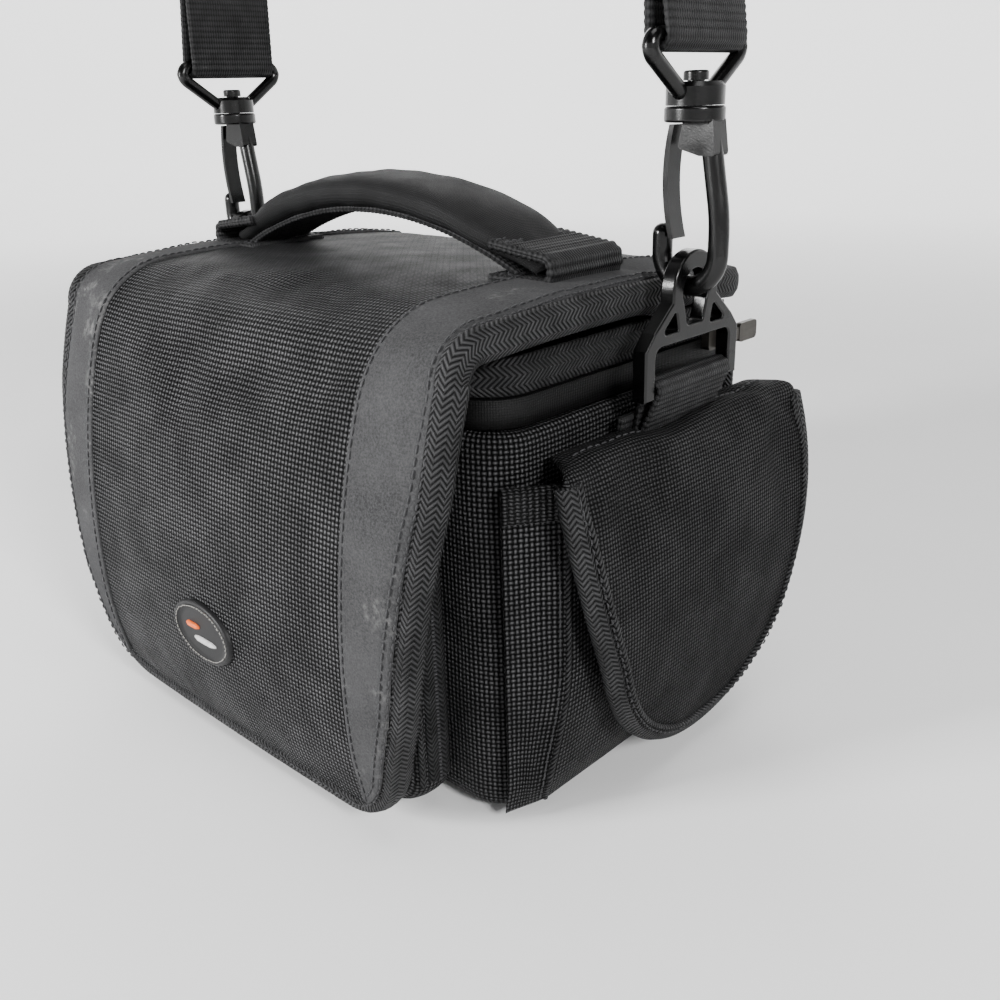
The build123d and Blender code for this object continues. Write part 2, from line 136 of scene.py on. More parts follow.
def ripple(p, scale, seed):
    """A slow, repeatable unevenness of cloth, about -1 to 1."""
    x, y, z = (p[..., k] / scale for k in range(3))
    a = np.sin(1.7 * x + 2.1 * z + seed) + np.sin(2.3 * y - 1.3 * z + 1.9 * seed)
    return (a + np.sin(3.1 * (x + y) + 2.9 * z + 0.7 * seed)) / 3


# ---------------------------------------------------------------- meshes
def new_object(name, points, faces, uv, material):
    """A mesh from points in millimetres, with one uv pair per face corner."""
    mesh = bpy.data.meshes.new(name)
    mesh.from_pydata((np.asarray(points).reshape(-1, 3) * MM + (0, 0, FOOT)).tolist(), [], faces)
    mesh.uv_layers.new(name="UVMap").data.foreach_set("uv", np.asarray(uv, np.float32).ravel())
    mesh.polygons.foreach_set("use_smooth", np.ones(len(mesh.polygons), bool))
    mesh.materials.append(material)
    work = bmesh.new()
    work.from_mesh(mesh)
    bmesh.ops.recalc_face_normals(work, faces=work.faces)
    work.to_mesh(mesh)
    work.free()
    obj = bpy.data.objects.new(name, mesh)
    scene.collection.objects.link(obj)
    return obj


def grid_faces(ids, u, v):
    """Quads over a grid of vertex numbers, with uv from the two coordinate grids."""
    corners = [(0, 0), (0, 1), (1, 1), (1, 0)]
    r, c = ids.shape[0] - 1, ids.shape[1] - 1
    pick = [(slice(a, a + r), slice(b, b + c)) for a, b in corners]
    quads = np.stack([ids[p] for p in pick], -1).reshape(-1, 4)
    uv = np.stack([np.stack([u[p], v[p]], -1) for p in pick], -2).reshape(-1, 2)
    return quads.tolist(), uv


def closed_grid(name, front, back, u, v, material):
    """A slab between two grids of points, closed round its border."""
    r, c = front.shape[:2]
    ids = np.arange(r * c).reshape(r, c)
    faces, uv = grid_faces(ids, u, v)
    more, uv_back = grid_faces(ids + r * c, u, v)
    ring = np.r_[ids[0], ids[1:, -1], ids[-1, -2::-1], ids[-2:0:-1, 0]]
    ring = np.r_[ring, ring[:1]]
    rim = np.stack([ring, ring + r * c], 1)
    flat_u, flat_v = u.ravel()[ring], v.ravel()[ring]
    side, uv_side = grid_faces(rim, np.stack([flat_u, flat_u + 1], 1), np.stack([flat_v, flat_v + 1], 1))
    obj = new_object(name, np.concatenate([front.reshape(-1, 3), back.reshape(-1, 3)]), faces + more + side,
                     np.concatenate([uv, uv_back, uv_side]), material)
    border = [int(i) for i in np.unique(ring)]
    obj["border"] = border + [i + r * c for i in border]
    return obj


def sweep(name, path, inward, normal, section, material, closed=False, wave=None, caps=True):
    """A closed section drawn as (inward, normal) carried along a path. wave is (height, pitch, weights)."""
    path, section = np.asarray(path, float), np.asarray(section, float)
    inward, normal = (np.broadcast_to(np.asarray(d, float), path.shape) for d in (inward, normal))
    s = lengths(path)
    points = path[:, None] + inward[:, None] * section[None, :, :1] + normal[:, None] * section[None, :, 1:]
    if wave:
        height, pitch, weights = wave
        rise = height * np.abs(np.sin(math.pi * s / pitch))
        points = points + normal[:, None] * (rise[:, None] * np.asarray(weights)[None])[..., None]
    m, k = points.shape[:2]
    ids = np.arange(m * k).reshape(m, k)
    ids = np.c_[ids, ids[:, :1]]
    if closed:
        ids[-1] = ids[0]
    round_section = lengths(np.vstack([section, section[:1]]))
    u, v = np.meshgrid(round_section, s)
    faces, uv = grid_faces(ids, u, v)
    if caps and not closed:
        for end in (0, -1):
            faces.append([int(i) for i in ids[end, :-1]])
            uv = np.concatenate([uv, section])
    obj = new_object(name, points, faces, uv, material)
    if closed:
        work = bmesh.new()
        work.from_mesh(obj.data)
        bmesh.ops.delete(work, geom=[x for x in work.verts if not x.link_faces], context="VERTS")
        work.to_mesh(obj.data)
        work.free()
    return obj


def flat_section(width, thick, count=10):
    """Rounded flat section of a webbing, and how far each of its points rides up a rib."""
    half = width / 2
    across = np.linspace(-half + thick * 0.3, half - thick * 0.3, count)
    top = [(a, thick / 2) for a in across]
    low = [(a, -thick / 2) for a in across[::-1]]
    section = [(-half, 0)] + top + [(half, 0)] + low
    return section, [0] + [1] * count + [0] + [-1] * count


def webbing(name, path, lateral, width, thick, material, pitch=2.0, rib=0.32, step=0.5):
    """Woven tape with cross ribs in the mesh."""
    path = resample(path, step)
    lateral = unit(np.broadcast_to(np.asarray(lateral, float), path.shape))
    normal = unit(np.cross(np.gradient(path, axis=0), lateral))
    section, weights = flat_section(width, thick)
    return sweep(name, path, lateral, normal, section, material, wave=(rib, pitch, weights))


def capsules(name, starts, ends, normals, radius, material, bow=0.12):
    """Short rounded threads from starts to ends, all in one mesh."""
    starts, ends, normals = (np.asarray(a, float) for a in (starts, ends, normals))
    along = unit(ends - starts)
    side = unit(np.cross(along, normals))
    stations = [(0.0, 0.45, -0.5), (0.18, 1.0, 0.35), (0.5, 1.05, 1.0), (0.82, 1.0, 0.35), (1.0, 0.45, -0.5)]
    angles = np.linspace(0, 2 * math.pi, 6, endpoint=False)
    rings = []
    for t, fat, up in stations:
        centre = starts + (ends - starts) * t + normals * up * bow
        for a in angles:
            rings.append(centre + (side * math.cos(a) + normals * math.sin(a)) * radius * fat)
    points = np.stack(rings, 1)
    n, per = points.shape[:2]
    base = np.arange(per).reshape(len(stations), 6)
    base = np.c_[base, base[:, :1]]
    u, v = np.meshgrid(np.arange(7) * 0.3, np.arange(5) * 0.5)
    quads, uv = grid_faces(base, u, v)
    caps = [list(range(6)), list(range(per - 6, per))]
    faces, all_uv = [], []
    cap_uv = np.zeros((6, 2))
    for i in range(n):
        faces += [[q + i * per for q in quad] for quad in quads]
        faces += [[q + i * per for q in cap] for cap in caps]
        all_uv += [uv, cap_uv, cap_uv]
    return new_object(name, points, faces, np.concatenate(all_uv), material)


def dashes(name, path, normals, material, stitch=2.3, gap=1.0, radius=0.3):
    """A dashed seam of thread along a path."""
    both = resample(np.hstack([path, normals]), (stitch + gap) / 8)
    path, normals = both[:, :3], unit(both[:, 3:])
    run = int(round(8 * stitch / (stitch + gap)))
    first = np.arange(0, len(path) - run, 8)
    shift = rng.normal(0, 0.05, (len(first), 3))
    return capsules(name, path[first] + shift, path[first + run] + shift, normals[first], radius, material)


def merge(name, objects):
    """One object from several, keeping their materials."""
    bpy.ops.object.select_all(action="DESELECT")
    for o in objects:
        o.select_set(True)
    bpy.context.view_layer.objects.active = objects[0]
    bpy.ops.object.join()
    objects[0].name = objects[0].data.name = name
    return objects[0]


def bake(obj, levels=1):
    """Subdivide once and keep the result as plain mesh."""
    if levels:
        obj.modifiers.new("soften", "SUBSURF").levels = levels
    bpy.context.view_layer.update()
    fresh = bpy.data.meshes.new_from_object(obj.evaluated_get(bpy.context.evaluated_depsgraph_get()))
    obj.modifiers.clear()
    obj.data = fresh
    return obj


def puff(obj, pressure, cap, pins=None, shrink=-0.02):
    """Cloth settling under inner pressure, its border held. No point moves further than cap millimetres."""
    pins = list(obj["border"]) if pins is None else pins
    obj.vertex_groups.new(name="held").add([int(i) for i in pins], 1.0, "REPLACE")
    before = np.array([v.co for v in obj.data.vertices])
    cloth = obj.modifiers.new("cloth", "CLOTH")
    settings = cloth.settings
    settings.quality = 5
    settings.use_pressure = True
    settings.uniform_pressure_force = pressure
    settings.vertex_group_mass = "held"
    settings.effector_weights.gravity = 0
    settings.shrink_min = shrink
    cloth.collision_settings.use_collision = False
    cloth.point_cache.frame_start, cloth.point_cache.frame_end = 1, 20
    for f in range(1, 21):
        scene.frame_set(f)
    mesh = obj.evaluated_get(bpy.context.evaluated_depsgraph_get()).to_mesh()
    after = np.array([v.co for v in mesh.vertices])
    obj.modifiers.clear()
    scene.frame_set(1)
    move = after - before
    far = np.linalg.norm(move, axis=1, keepdims=True)
    limit = cap * MM
    move = move / np.maximum(far, 1e-9) * limit * np.tanh(far / limit)
    obj.data.vertices.foreach_set("co", (before + move).astype(np.float32).ravel())
    obj.data.update()
    return obj


class Surface:
    """A surface whose side view is a drawn profile. A point is named by its place across and along it."""

    def __init__(self, profile, across, turn, swell=None):
        self.line = resample(profile, 1.0)
        self.s = lengths(self.line)
        t = unit(np.gradient(self.line, axis=0))
        self.n = np.stack([t[:, 1], -t[:, 0]], 1) * turn
        self.across, self.swell, self.tree = across, swell, None

    def along(self, height):
        """Distance along the profile at which it passes a height, measured from its far end."""
        k = len(self.line) - 1 - np.argmin(np.abs(self.line[::-1, 1] - height))
        return self.s[k]

    def at(self, lat, s, lift=0.0):
        lat, s = np.broadcast_arrays(np.asarray(lat, float), np.asarray(s, float))
        p = [np.interp(s, self.s, self.line[:, k]) for k in (0, 1)]
        n = [np.interp(s, self.s, self.n[:, k]) for k in (0, 1)]
        zero = np.zeros_like(lat)
        if self.across == "x":
            point, normal = np.stack([lat, *p], -1), np.stack([zero, *n], -1)
        else:
            point, normal = np.stack([p[0], lat, p[1]], -1), np.stack([n[0], zero, n[1]], -1)
        if self.swell:
            point = point + normal * self.swell(lat, s)[..., None]
        if self.tree:
            flat_p, flat_n = point.reshape(-1, 3), normal.reshape(-1, 3)
            for i, (q, d) in enumerate(zip(flat_p.copy(), flat_n)):
                hit = self.tree.ray_cast(Vector(q + d * 12), Vector(-d), 20)[0]
                if hit is not None:
                    flat_p[i] = hit
            point = flat_p.reshape(point.shape)
        return point + normal * lift, normal

    def settle(self, obj):
        """From now on points lie on the finished mesh."""
        points = (np.array([v.co for v in obj.data.vertices]) - (0, 0, FOOT)) / MM
        corners = [tuple(f.vertices) for f in obj.data.polygons]
        self.tree = BVHTree.FromPolygons([Vector(p) for p in points], corners)

    def slab(self, name, rows, left, right, cols, thick, material, lift=0.0):
        rows = np.asarray(rows, float)
        f = np.linspace(0, 1, cols)[None]
        left, right = (np.broadcast_to(np.asarray(e, float), rows.shape)[:, None] for e in (left, right))
        lat = left * (1 - f) + right * f
        s = np.broadcast_to(rows[:, None], lat.shape)
        front, normal = self.at(lat, s, lift)
        thick = np.broadcast_to(np.asarray(thick, float), rows.shape)[:, None, None]
        return closed_grid(name, front, front - normal * thick, lat, s, material)

    def seam(self, name, lat, s, material, lift=0.12, **kind):
        pairs = resample(np.stack([lat, s], 1), 2.0)
        point, normal = self.at(pairs[:, 0], pairs[:, 1], lift)
        return dashes(name, point, normal, material, **kind)

    def binding(self, name, edge, width, thick, material, step=0.55, plump=0.9, closed=False):
        """Folded tape over an edge drawn as (across, along), which has the panel on its left."""
        pairs = resample(edge, step)
        into = left_of(pairs)
        tree, self.tree = self.tree, None
        point, normal = self.at(pairs[:, 0], pairs[:, 1])
        inner = self.at(*(pairs + into * width).T)[0]
        self.tree = tree
        inward = unit(inner - point)
        normal = unit(normal - inward * (normal * inward).sum(1, keepdims=True))
        up = plump
        section = [(width, 0.1), (width * 0.9, up * 0.8), (width * 0.5, up * 1.25), (width * 0.1, up * 0.9),
                   (-up * 0.7, -thick * 0.2), (-up * 0.9, -thick * 0.5), (-up * 0.7, -thick * 0.8),
                   (width * 0.1, -thick - up * 0.8), (width * 0.5, -thick - up),
                   (width * 0.9, -thick - up * 0.6), (width, -thick + 0.1), (width * 0.6, -thick * 0.5)]
        weights = [0.2, 1, 1, 1, 0.6, 0, -0.6, -1, -1, -1, 0, 0]
        return sweep(name, point, inward, normal, section, material, wave=(0.13, 1.7, weights), closed=closed)


# ---------------------------------------------------------------- finishes
class Paint:
    """One procedural material. u and v run over a piece in millimetres."""

    def __init__(self, name, **fixed):
        self.material = bpy.data.materials.new(name)
        self.material.use_nodes = True
        self.tree = self.material.node_tree
        self.tree.nodes.clear()
        self.shader = self.node("ShaderNodeBsdfPrincipled")
        self.tree.links.new(self.shader.outputs[0], self.node("ShaderNodeOutputMaterial").inputs[0])
        for key, value in fixed.items():
            self.shader.inputs[key.replace("_", " ")].default_value = value
        self.place = self.node("ShaderNodeTexCoord").outputs["Object"]
        split = self.node("ShaderNodeSeparateXYZ")
        self.tree.links.new(self.node("ShaderNodeUVMap").outputs[0], split.inputs[0])
        self.u, self.v = split.outputs[0], split.outputs[1]

    def node(self, kind, **options):
        made = self.tree.nodes.new(kind)
        for key, value in options.items():
            setattr(made, key, value)
        return made

    def feed(self, socket, value):
        if isinstance(value, bpy.types.NodeSocket):
            self.tree.links.new(value, socket)
        else:
            socket.default_value = value

    def math(self, operation, *values):
        made = self.node("ShaderNodeMath", operation=operation)
        for socket, value in zip(made.inputs, values):
            self.feed(socket, value)
        return made.outputs[0]

    def noise(self, scale, detail=3.0, rough=0.55, stretch=None):
        made = self.node("ShaderNodeTexNoise")
        place = self.place
        if stretch:
            mapping = self.node("ShaderNodeMapping")
            self.tree.links.new(place, mapping.inputs[0])
            mapping.inputs["Scale"].default_value = stretch
            place = mapping.outputs[0]
        self.tree.links.new(place, made.inputs["Vector"])
        for key, value in (("Scale", scale), ("Detail", detail), ("Roughness", rough)):
            made.inputs[key].default_value = value
        return made.outputs[0]

    def remap(self, value, low, high, to_low=0.0, to_high=1.0):
        made = self.node("ShaderNodeMapRange")
        for socket, x in zip(made.inputs, (value, low, high, to_low, to_high)):
            self.feed(socket, x)
        return made.outputs[0]

    def mix(self, share, a, b):
        made = self.node("ShaderNodeMix", data_type="RGBA")
        for k, value in ((0, share), (6, a), (7, b)):
            self.feed(made.inputs[k], (*value, 1.0) if isinstance(value, tuple) else value)
        return made.outputs[2]

    def bump(self, height, depth, strength=1.0, under=None):
        made = self.node("ShaderNodeBump")
        made.inputs["Strength"].default_value = strength
        made.inputs["Distance"].default_value = depth * MM
        self.feed(made.inputs["Height"], height)
        if under:
            self.tree.links.new(under, made.inputs["Normal"])
        return made.outputs[0]

    def wave(self, x, pitch):
        """0 in the grooves and 1 on the crests, one crest every pitch."""
        return self.math("ABSOLUTE", self.math("SINE", self.math("MULTIPLY", x, math.pi / pitch)))

    def plain_weave(self, pitch_u, pitch_v):
        """Crossing threads that pass over and under one another."""
        u, v = self.math("DIVIDE", self.u, pitch_u), self.math("DIVIDE", self.v, pitch_v)
        column, row = self.math("FLOOR", u), self.math("FLOOR", v)

        def over(x, cell):
            turn = self.math("MULTIPLY", self.math("ADD", self.math("SUBTRACT", x, 0.5), cell), math.pi)
            return self.math("MULTIPLY_ADD", self.math("COSINE", turn), 0.5, 0.5)

        warp = self.math("MULTIPLY", self.wave(u, 1), over(v, column))
        weft = self.math("MULTIPLY", self.wave(v, 1), self.math("SUBTRACT", 1.0, over(u, row)))
        return self.math("MAXIMUM", warp, weft)

    def chevrons(self, width, pitch, slope=1.0):
        """Herringbone ribs that turn back at every width across the tape."""
        zig = self.math("PINGPONG", self.u, width)
        return self.wave(self.math("MULTIPLY_ADD", zig, slope, self.v), pitch)

    def finish(self, colour, rough, normal):
        for key, value in (("Base Color", colour), ("Roughness", rough), ("Normal", normal)):
            if value is not None:
                self.feed(self.shader.inputs[key], value)
        return self.material


def shade(level, tint=(1.0, 1.0, 1.03)):
    return tuple(level * t for t in tint)


def woven(name, pitch, dark, light, rough, depth, dust=0.0, **fixed):
    p = Paint(name, **fixed)
    height = p.plain_weave(*pitch)
    yarn = p.noise(2200, 2)
    slub = p.remap(p.noise(60, 4), 0.35, 0.65, 0.75, 1.2)
    # Painted highlight and shade: thread crests get the lighter colour and the gaps between threads the
    # darker one, as if lit. Slub and yarn noise vary this at random.
    crest_highlight = p.math("MULTIPLY", p.math("POWER", height, 3.0), slub)
    crest_highlight_share = p.math("MULTIPLY", crest_highlight, p.remap(yarn, 0.3, 0.7, 0.7, 1.1))
    colour = p.mix(crest_highlight_share, shade(dark), shade(light))
    if dust:
        specks = p.remap(p.noise(900, 1, 0.4), 0.72, 0.78, 0, dust)
        lint = p.remap(p.noise(42, 5, 0.7), 0.5, 0.75, 0, dust * 0.35)
        colour = p.mix(p.math("MAXIMUM", specks, lint), colour, shade(0.20, (1, 0.98, 0.95)))
    normal = p.bump(height, depth, under=p.bump(yarn, 0.05))
    return p.finish(colour, p.remap(slub, 0.7, 1.2, rough + 0.08, rough - 0.04), normal)


def braided(name, width, pitch, dark, light, rough, depth):
    p = Paint(name, Specular_IOR_Level=0.10)
    height = p.chevrons(width, pitch)
    yarn = p.noise(2500, 2)
    # Painted highlight and shade: the herringbone ribs' crests are coloured lighter and their grooves darker,
    # with some random variation from noise.
    crest_highlight_share = p.math("MULTIPLY", height, p.remap(p.noise(110, 3), 0.3, 0.7, 0.55, 1.15))
    normal = p.bump(height, depth, under=p.bump(yarn, 0.08))
    return p.finish(p.mix(crest_highlight_share, shade(dark), shade(light)), rough, normal)


def tape(name, across, dark, light, rough):
    """Webbing: warp yarns running along the tape."""
    p = Paint(name, Specular_IOR_Level=0.10)
    warp = p.wave(p.u, across)
    rib = p.wave(p.v, 2.0)
    height = p.math("MULTIPLY_ADD", warp, 0.5, p.math("MULTIPLY", rib, 0.5))
    # Painted highlight and shade: the crests of the warp yarns and cross ribs are coloured lighter and the
    # grooves darker, with some random variation from noise.
    crest_highlight_share = p.math("MULTIPLY", height, p.remap(p.noise(150, 3), 0.3, 0.7, 0.6, 1.1))
    normal = p.bump(height, 0.35, under=p.bump(p.noise(2600, 2), 0.06))
    return p.finish(p.mix(crest_highlight_share, shade(dark), shade(light)), rough, normal)


def suede_like():
    p = Paint("suede", Specular_IOR_Level=0.08, Sheen_Weight=0.01, Sheen_Roughness=0.5)
    nap = p.noise(1500, 4, 0.7)
    cloud = p.remap(p.noise(38, 4, 0.6), 0.35, 0.7, 0, 1)
    colour = p.mix(cloud, shade(0.018), shade(0.036))
    colour = p.mix(p.remap(nap, 0.35, 0.75, 0, 0.55), colour, shade(0.085))
    worn = p.remap(p.noise(26, 5, 0.75), 0.56, 0.72)
    scuffs = p.math("MULTIPLY", worn, p.remap(p.noise(420, 3, 0.6), 0.45, 0.7))
    colour = p.mix(p.math("MULTIPLY", scuffs, 0.6), colour, shade(0.24, (1, 0.99, 0.97)))
    return p.finish(colour, 0.88, p.bump(nap, 0.12, under=p.bump(p.noise(420, 2), 0.1)))


def moulded(name, level, rough):
    p = Paint(name, Specular_IOR_Level=0.32)
    grain = p.noise(1900, 2)
    cloud = p.noise(120, 3)
    wear = p.remap(p.noise(260, 5, 0.7), 0.60, 0.72, 0, 0.25)
    colour = p.mix(wear, shade(level), shade(level * 4))
    return p.finish(colour, p.remap(cloud, 0.3, 0.7, rough - 0.06, rough + 0.08), p.bump(grain, 0.02))


def brushed():
    p = Paint("zip_metal", Metallic=0.85)
    grain = p.noise(1400, 3, 0.6, (1, 0.12, 1))
    warm = (1, 0.92, 0.82)
    colour = p.mix(p.noise(300, 3), shade(0.035, warm), shade(0.08, warm))
    return p.finish(colour, p.remap(grain, 0.3, 0.7, 0.28, 0.48), p.bump(grain, 0.02))


def matted(name, dark, light, scale, depth):
    p = Paint(name, Specular_IOR_Level=0.15)
    height = p.noise(scale, 3, 0.7)
    return p.finish(p.mix(p.remap(height, 0.3, 0.7), shade(dark), shade(light)), 0.92, p.bump(height, depth))


def plain(name, colour, rough, grain=0.03):
    p = Paint(name, Specular_IOR_Level=0.25)
    cloud = p.remap(p.noise(500, 3), 0.3, 0.7, 0.0, 1.0)
    deep = tuple(0.72 * c for c in colour)
    return p.finish(p.mix(cloud, deep, colour), rough, p.bump(p.noise(1800, 2), grain))


# For woven, braided and tape, the two levels are the painted shade in the gaps and the painted highlight on
# the crests.
WEAVE = woven("weave_gloss", (1.55, 1.55), 0.0001, 0.105, 0.45, 1.0, dust=0.03, Specular_IOR_Level=0.04)
WALL = woven("weave_wall", (1.6, 1.6), 0.0002, 0.085, 0.50, 0.9, Specular_IOR_Level=0.05)
ELASTIC = woven("elastic", (1.1, 2.2), 0.0003, 0.060, 0.55, 0.8, Specular_IOR_Level=0.10)
FLAP_WEAVE = woven("weave_flap", (1.35, 1.35), 0.0008, 0.050, 0.60, 0.6, Specular_IOR_Level=0.05)
LINING = woven("lining", (0.9, 0.9), 0.025, 0.05, 0.75, 0.2, Specular_IOR_Level=0.2)
PADDING = woven("padding", (1.0, 1.0), 0.003, 0.012, 0.70, 0.3, Specular_IOR_Level=0.1)
COATED = woven("coated", (0.8, 0.8), 0.001, 0.006, 0.5, 0.12, Specular_IOR_Level=0.15)
BRAID = braided("braid", 2.4, 1.8, 0.0006, 0.045, 0.60, 0.9)
ZIP_TAPE = braided("zip_tape", 3.0, 1.7, 0.0008, 0.026, 0.60, 0.6)
TAPE = tape("webbing", 1.1, 0.0006, 0.026, 0.55)
SUEDE = suede_like()
PLASTIC = moulded("plastic", 0.0008, 0.22)
METAL = brushed()
PILE = matted("hook_loop", 0.002, 0.015, 1500, 0.5)
RUBBER = plain("badge_rubber", (0.005, 0.005, 0.0055), 0.5)
THREAD = plain("thread", (0.035, 0.035, 0.037), 0.6)
PALE_THREAD = plain("pale_thread", (0.22, 0.215, 0.20), 0.6)
ORANGE = plain("orange_mark", (0.75, 0.13, 0.02), 0.5)
GREY_MARK = plain("grey_mark", (0.55, 0.55, 0.55), 0.5)
HANDLE_CLOTH = woven("handle_cloth", (0.7, 0.7), 0.006, 0.018, 0.62, 0.12, Specular_IOR_Level=0.1)


# ---------------------------------------------------------------- fitting pieces to the frame
COVER_BEND = ("lid", "front_flap", (0, -83, 156), (0, -93, 133))
SIDE_BEND = ("bag", "pocket_flap_right", (112, 0, 121), (119, 0, 111))
HINGE_BEND = ("bag", "lid", (0, 57.9, 145.2), (0, 57.9, 150.8))


def place(obj, body, slot, nodes=(), fill=None, left=False):
    """Ties a piece to its body, or keeps it where it is when given the two bodies of a bend, and hides the
    CAD nodes it replaces.
    """
    if isinstance(body, str):
        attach(obj, body)
    else:
        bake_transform(obj)
    if nodes:
        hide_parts(*nodes)
    return obj


def to_left(word):
    return word.replace("_right", "_left")


def stitch_row(name, start, end, count, up, **kind):
    """A straight row of thread between two points, on a surface that faces up."""
    return dashes(name, np.linspace(start, end, count), np.tile(up, (count, 1)), THREAD, **kind)


def mirror_image(obj):
    twin = bpy.data.objects.new(to_left(obj.name), obj.data.copy())
    scene.collection.objects.link(twin)
    twin.data.transform(Matrix.Scale(-1, 4, (1, 0, 0)))
    twin.data.flip_normals()
    return twin


def pair(obj, body, slot, nodes=(), fill=None):
    """Places a right-hand piece and its mirror image on the left."""
    other = mirror_image(obj)
    place(obj, body, slot, nodes, fill)
    body = to_left(body) if isinstance(body, str) else (body[0], to_left(body[1]), *body[2:])
    place(other, body, slot, [to_left(n) for n in nodes], fill, left=True)


def repaint(material, *nodes):
    """Gives CAD pieces a finish and changes nothing else about them."""
    for name in nodes:
        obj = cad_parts[name]
        obj.data.materials.clear()
        obj.data.materials.append(material)
        obj.data.polygons.foreach_set("material_index", np.zeros(len(obj.data.polygons), np.int32))


# ---------------------------------------------------------------- lid and front flap, one padded cover
BIND = 5.0
LID_HALF = 101.5
lid_line = arc3((57, 156.4), (-9.5, 160), (-76, 158.4), 30)
nose_line = arc3((-76, 158.4), (-84.6, 154.6), (-88.6, 145.6), 12)
flap_line = arc3((-88.6, 145.6), (-103.2, 60), (-99.5, 7.5), 40)
cover_profile = np.vstack([lid_line, nose_line[1:], flap_line[1:]])


def cover_swell(x, s):
    """Soft fullness of the cover, flat along its edges."""
    inside = np.clip(1 - (x / 100) ** 2, 0, 1)
    return inside * (0.6 + 2.2 * smooth((s - 130) / 60) * smooth((320 - s) / 60))


cover = Surface(cover_profile, "x", 1, cover_swell)
S_NOSE, S_HINGE, S_FOOT = cover.along(158.0), cover.along(145.6), cover.s[-1]
corner_s = [S_HINGE, cover.along(118), cover.along(50), S_FOOT]
half_edge = rounded([(0, 0), (LID_HALF, 0), (LID_HALF, S_NOSE), (102, corner_s[0]), (102, corner_s[1]),
                     (92.5, corner_s[2]), (80, corner_s[3]), (0, corner_s[3])], [0, 14, 0, 0, 60, 60, 26, 0])


fine_edge = resample(half_edge, 1.0)
side_edge = fine_edge[fine_edge[:, 0] > 50]


def half_width(s, amount=0.0):
    moved = shifted(side_edge, amount)
    order = np.argsort(moved[:, 1])
    return np.interp(s, moved[order, 1], moved[order, 0])


KNEE = 24.0        # how far above the foot of the flap its corners begin
foot_rows = S_FOOT - KNEE * np.cos(np.linspace(0.22, 1.5, 8))
rows = np.r_[[0.6, 2.5, 5.5, 9.5], np.linspace(14, S_FOOT - KNEE, 56), foot_rows]
cover_thick = np.interp(rows, [0, 60, S_NOSE, S_HINGE], [7.7, 10.8, 9.4, 7.0])
reach = half_width(rows, 1.2)
panel = cover.slab("cover_panel", rows, -reach, reach, 40, cover_thick, WEAVE)
bake(puff(panel, 3.5, 2.2))
cover.settle(panel)

full_edge = np.vstack([half_edge[half_edge[:, 0] > 1], (half_edge * (-1, 1))[::-1][1:]])
full_edge = full_edge[full_edge[:, 1] > 0.5]
edge_tape = cover.binding("cover_binding", full_edge, BIND, 7.5, BRAID)

SEAM_X = 71.0
STRIP_LIFT = 1.0
SEAM_LIFT = 1.15
strip_foot = S_FOOT - 7.5 - 16.5 * np.cos(np.linspace(0.2, 1.57, 7))
strip_rows = np.r_[[2.0, 6, 10], np.linspace(15, S_FOOT - KNEE, 64), strip_foot]
strip_out = np.maximum(half_width(strip_rows, BIND - 1.2), SEAM_X + 1.0)
strip = bake(cover.slab("cover_strip_right", strip_rows, SEAM_X, strip_out, 9, 1.6, SUEDE, lift=STRIP_LIFT))
seam_ends = np.array([4, S_FOOT - 9.0])
seam_in = cover.seam("cover_seam_right", np.full(2, SEAM_X + 2.0), seam_ends, THREAD, lift=SEAM_LIFT)
outer_seam = resample(shifted(side_edge, BIND + 1.4), 2.0)
outer_seam = outer_seam[(outer_seam[:, 0] > SEAM_X + 2) & (outer_seam[:, 1] > 6)]
seam_out = cover.seam("cover_seam_edge_right", *outer_seam.T, THREAD, lift=SEAM_LIFT)
bind_seam = shifted(resample(full_edge, 2.0), BIND - 1.3)
bind_point, bind_normal = cover.at(*bind_seam.T, SEAM_LIFT)
binding_seam = dashes("cover_binding_seam", bind_point, bind_normal, THREAD, stitch=1.9, gap=1.0, radius=0.26)

place(panel, COVER_BEND, "weave", ["lid_panel", "flap_panel"], 0.55)
place(edge_tape, COVER_BEND, "braid", ["lid_binding_right", "lid_binding_left", "flap_binding"])
place(binding_seam, COVER_BEND, "braid")
for obj in (strip, seam_in, seam_out):
    place(mirror_image(obj), COVER_BEND, "suede")
    place(obj, COVER_BEND, "suede")
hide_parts("lid_strip_right", "lid_strip_left", "flap_strips")


# ---------------------------------------------------------------- badge: a plain oval with two short bars
def on_flap(dx, dz, lift):
    s = cover.along(50.5) - dz
    return cover.at(-1 + dx, s, lift)


def badge():
    rings = [(0.0, 1.1), (0.35, 1.1), (0.7, 1.05), (0.8, 1.0), (0.86, 1.55), (0.92, 1.7), (0.98, 1.3)]
    rings += [(1.0, 0.2), (1.0, -0.5)]
    turn = np.linspace(0, 2 * math.pi, 61)
    share, lift = np.array(rings).T
    dx, dz = (share[:, None] * r * f(turn)[None] for r, f in ((17.0, np.cos), (11.0, np.sin)))
    points, _ = on_flap(dx, dz, lift[:, None, None] * np.ones((1, 61, 1)))
    ids = np.arange(len(rings) * 61).reshape(-1, 61)
    ids[:, -1] = ids[:, 0]
    ids[0] = ids[0, 0]
    faces, uv = grid_faces(ids, dx, dz)
    keep = [k for k, f in enumerate(faces) if len(set(f)) == 4]
    tips = [[f[0], f[2], f[3]] for f in faces if len(set(f)) == 3]
    tip_uv = np.zeros((3 * len(tips), 2))
    uv = uv.reshape(-1, 4, 2)[keep].reshape(-1, 2)
    faces = [faces[k] for k in keep] + tips
    return new_object("badge_oval", points, faces, np.concatenate([uv, tip_uv]), RUBBER)


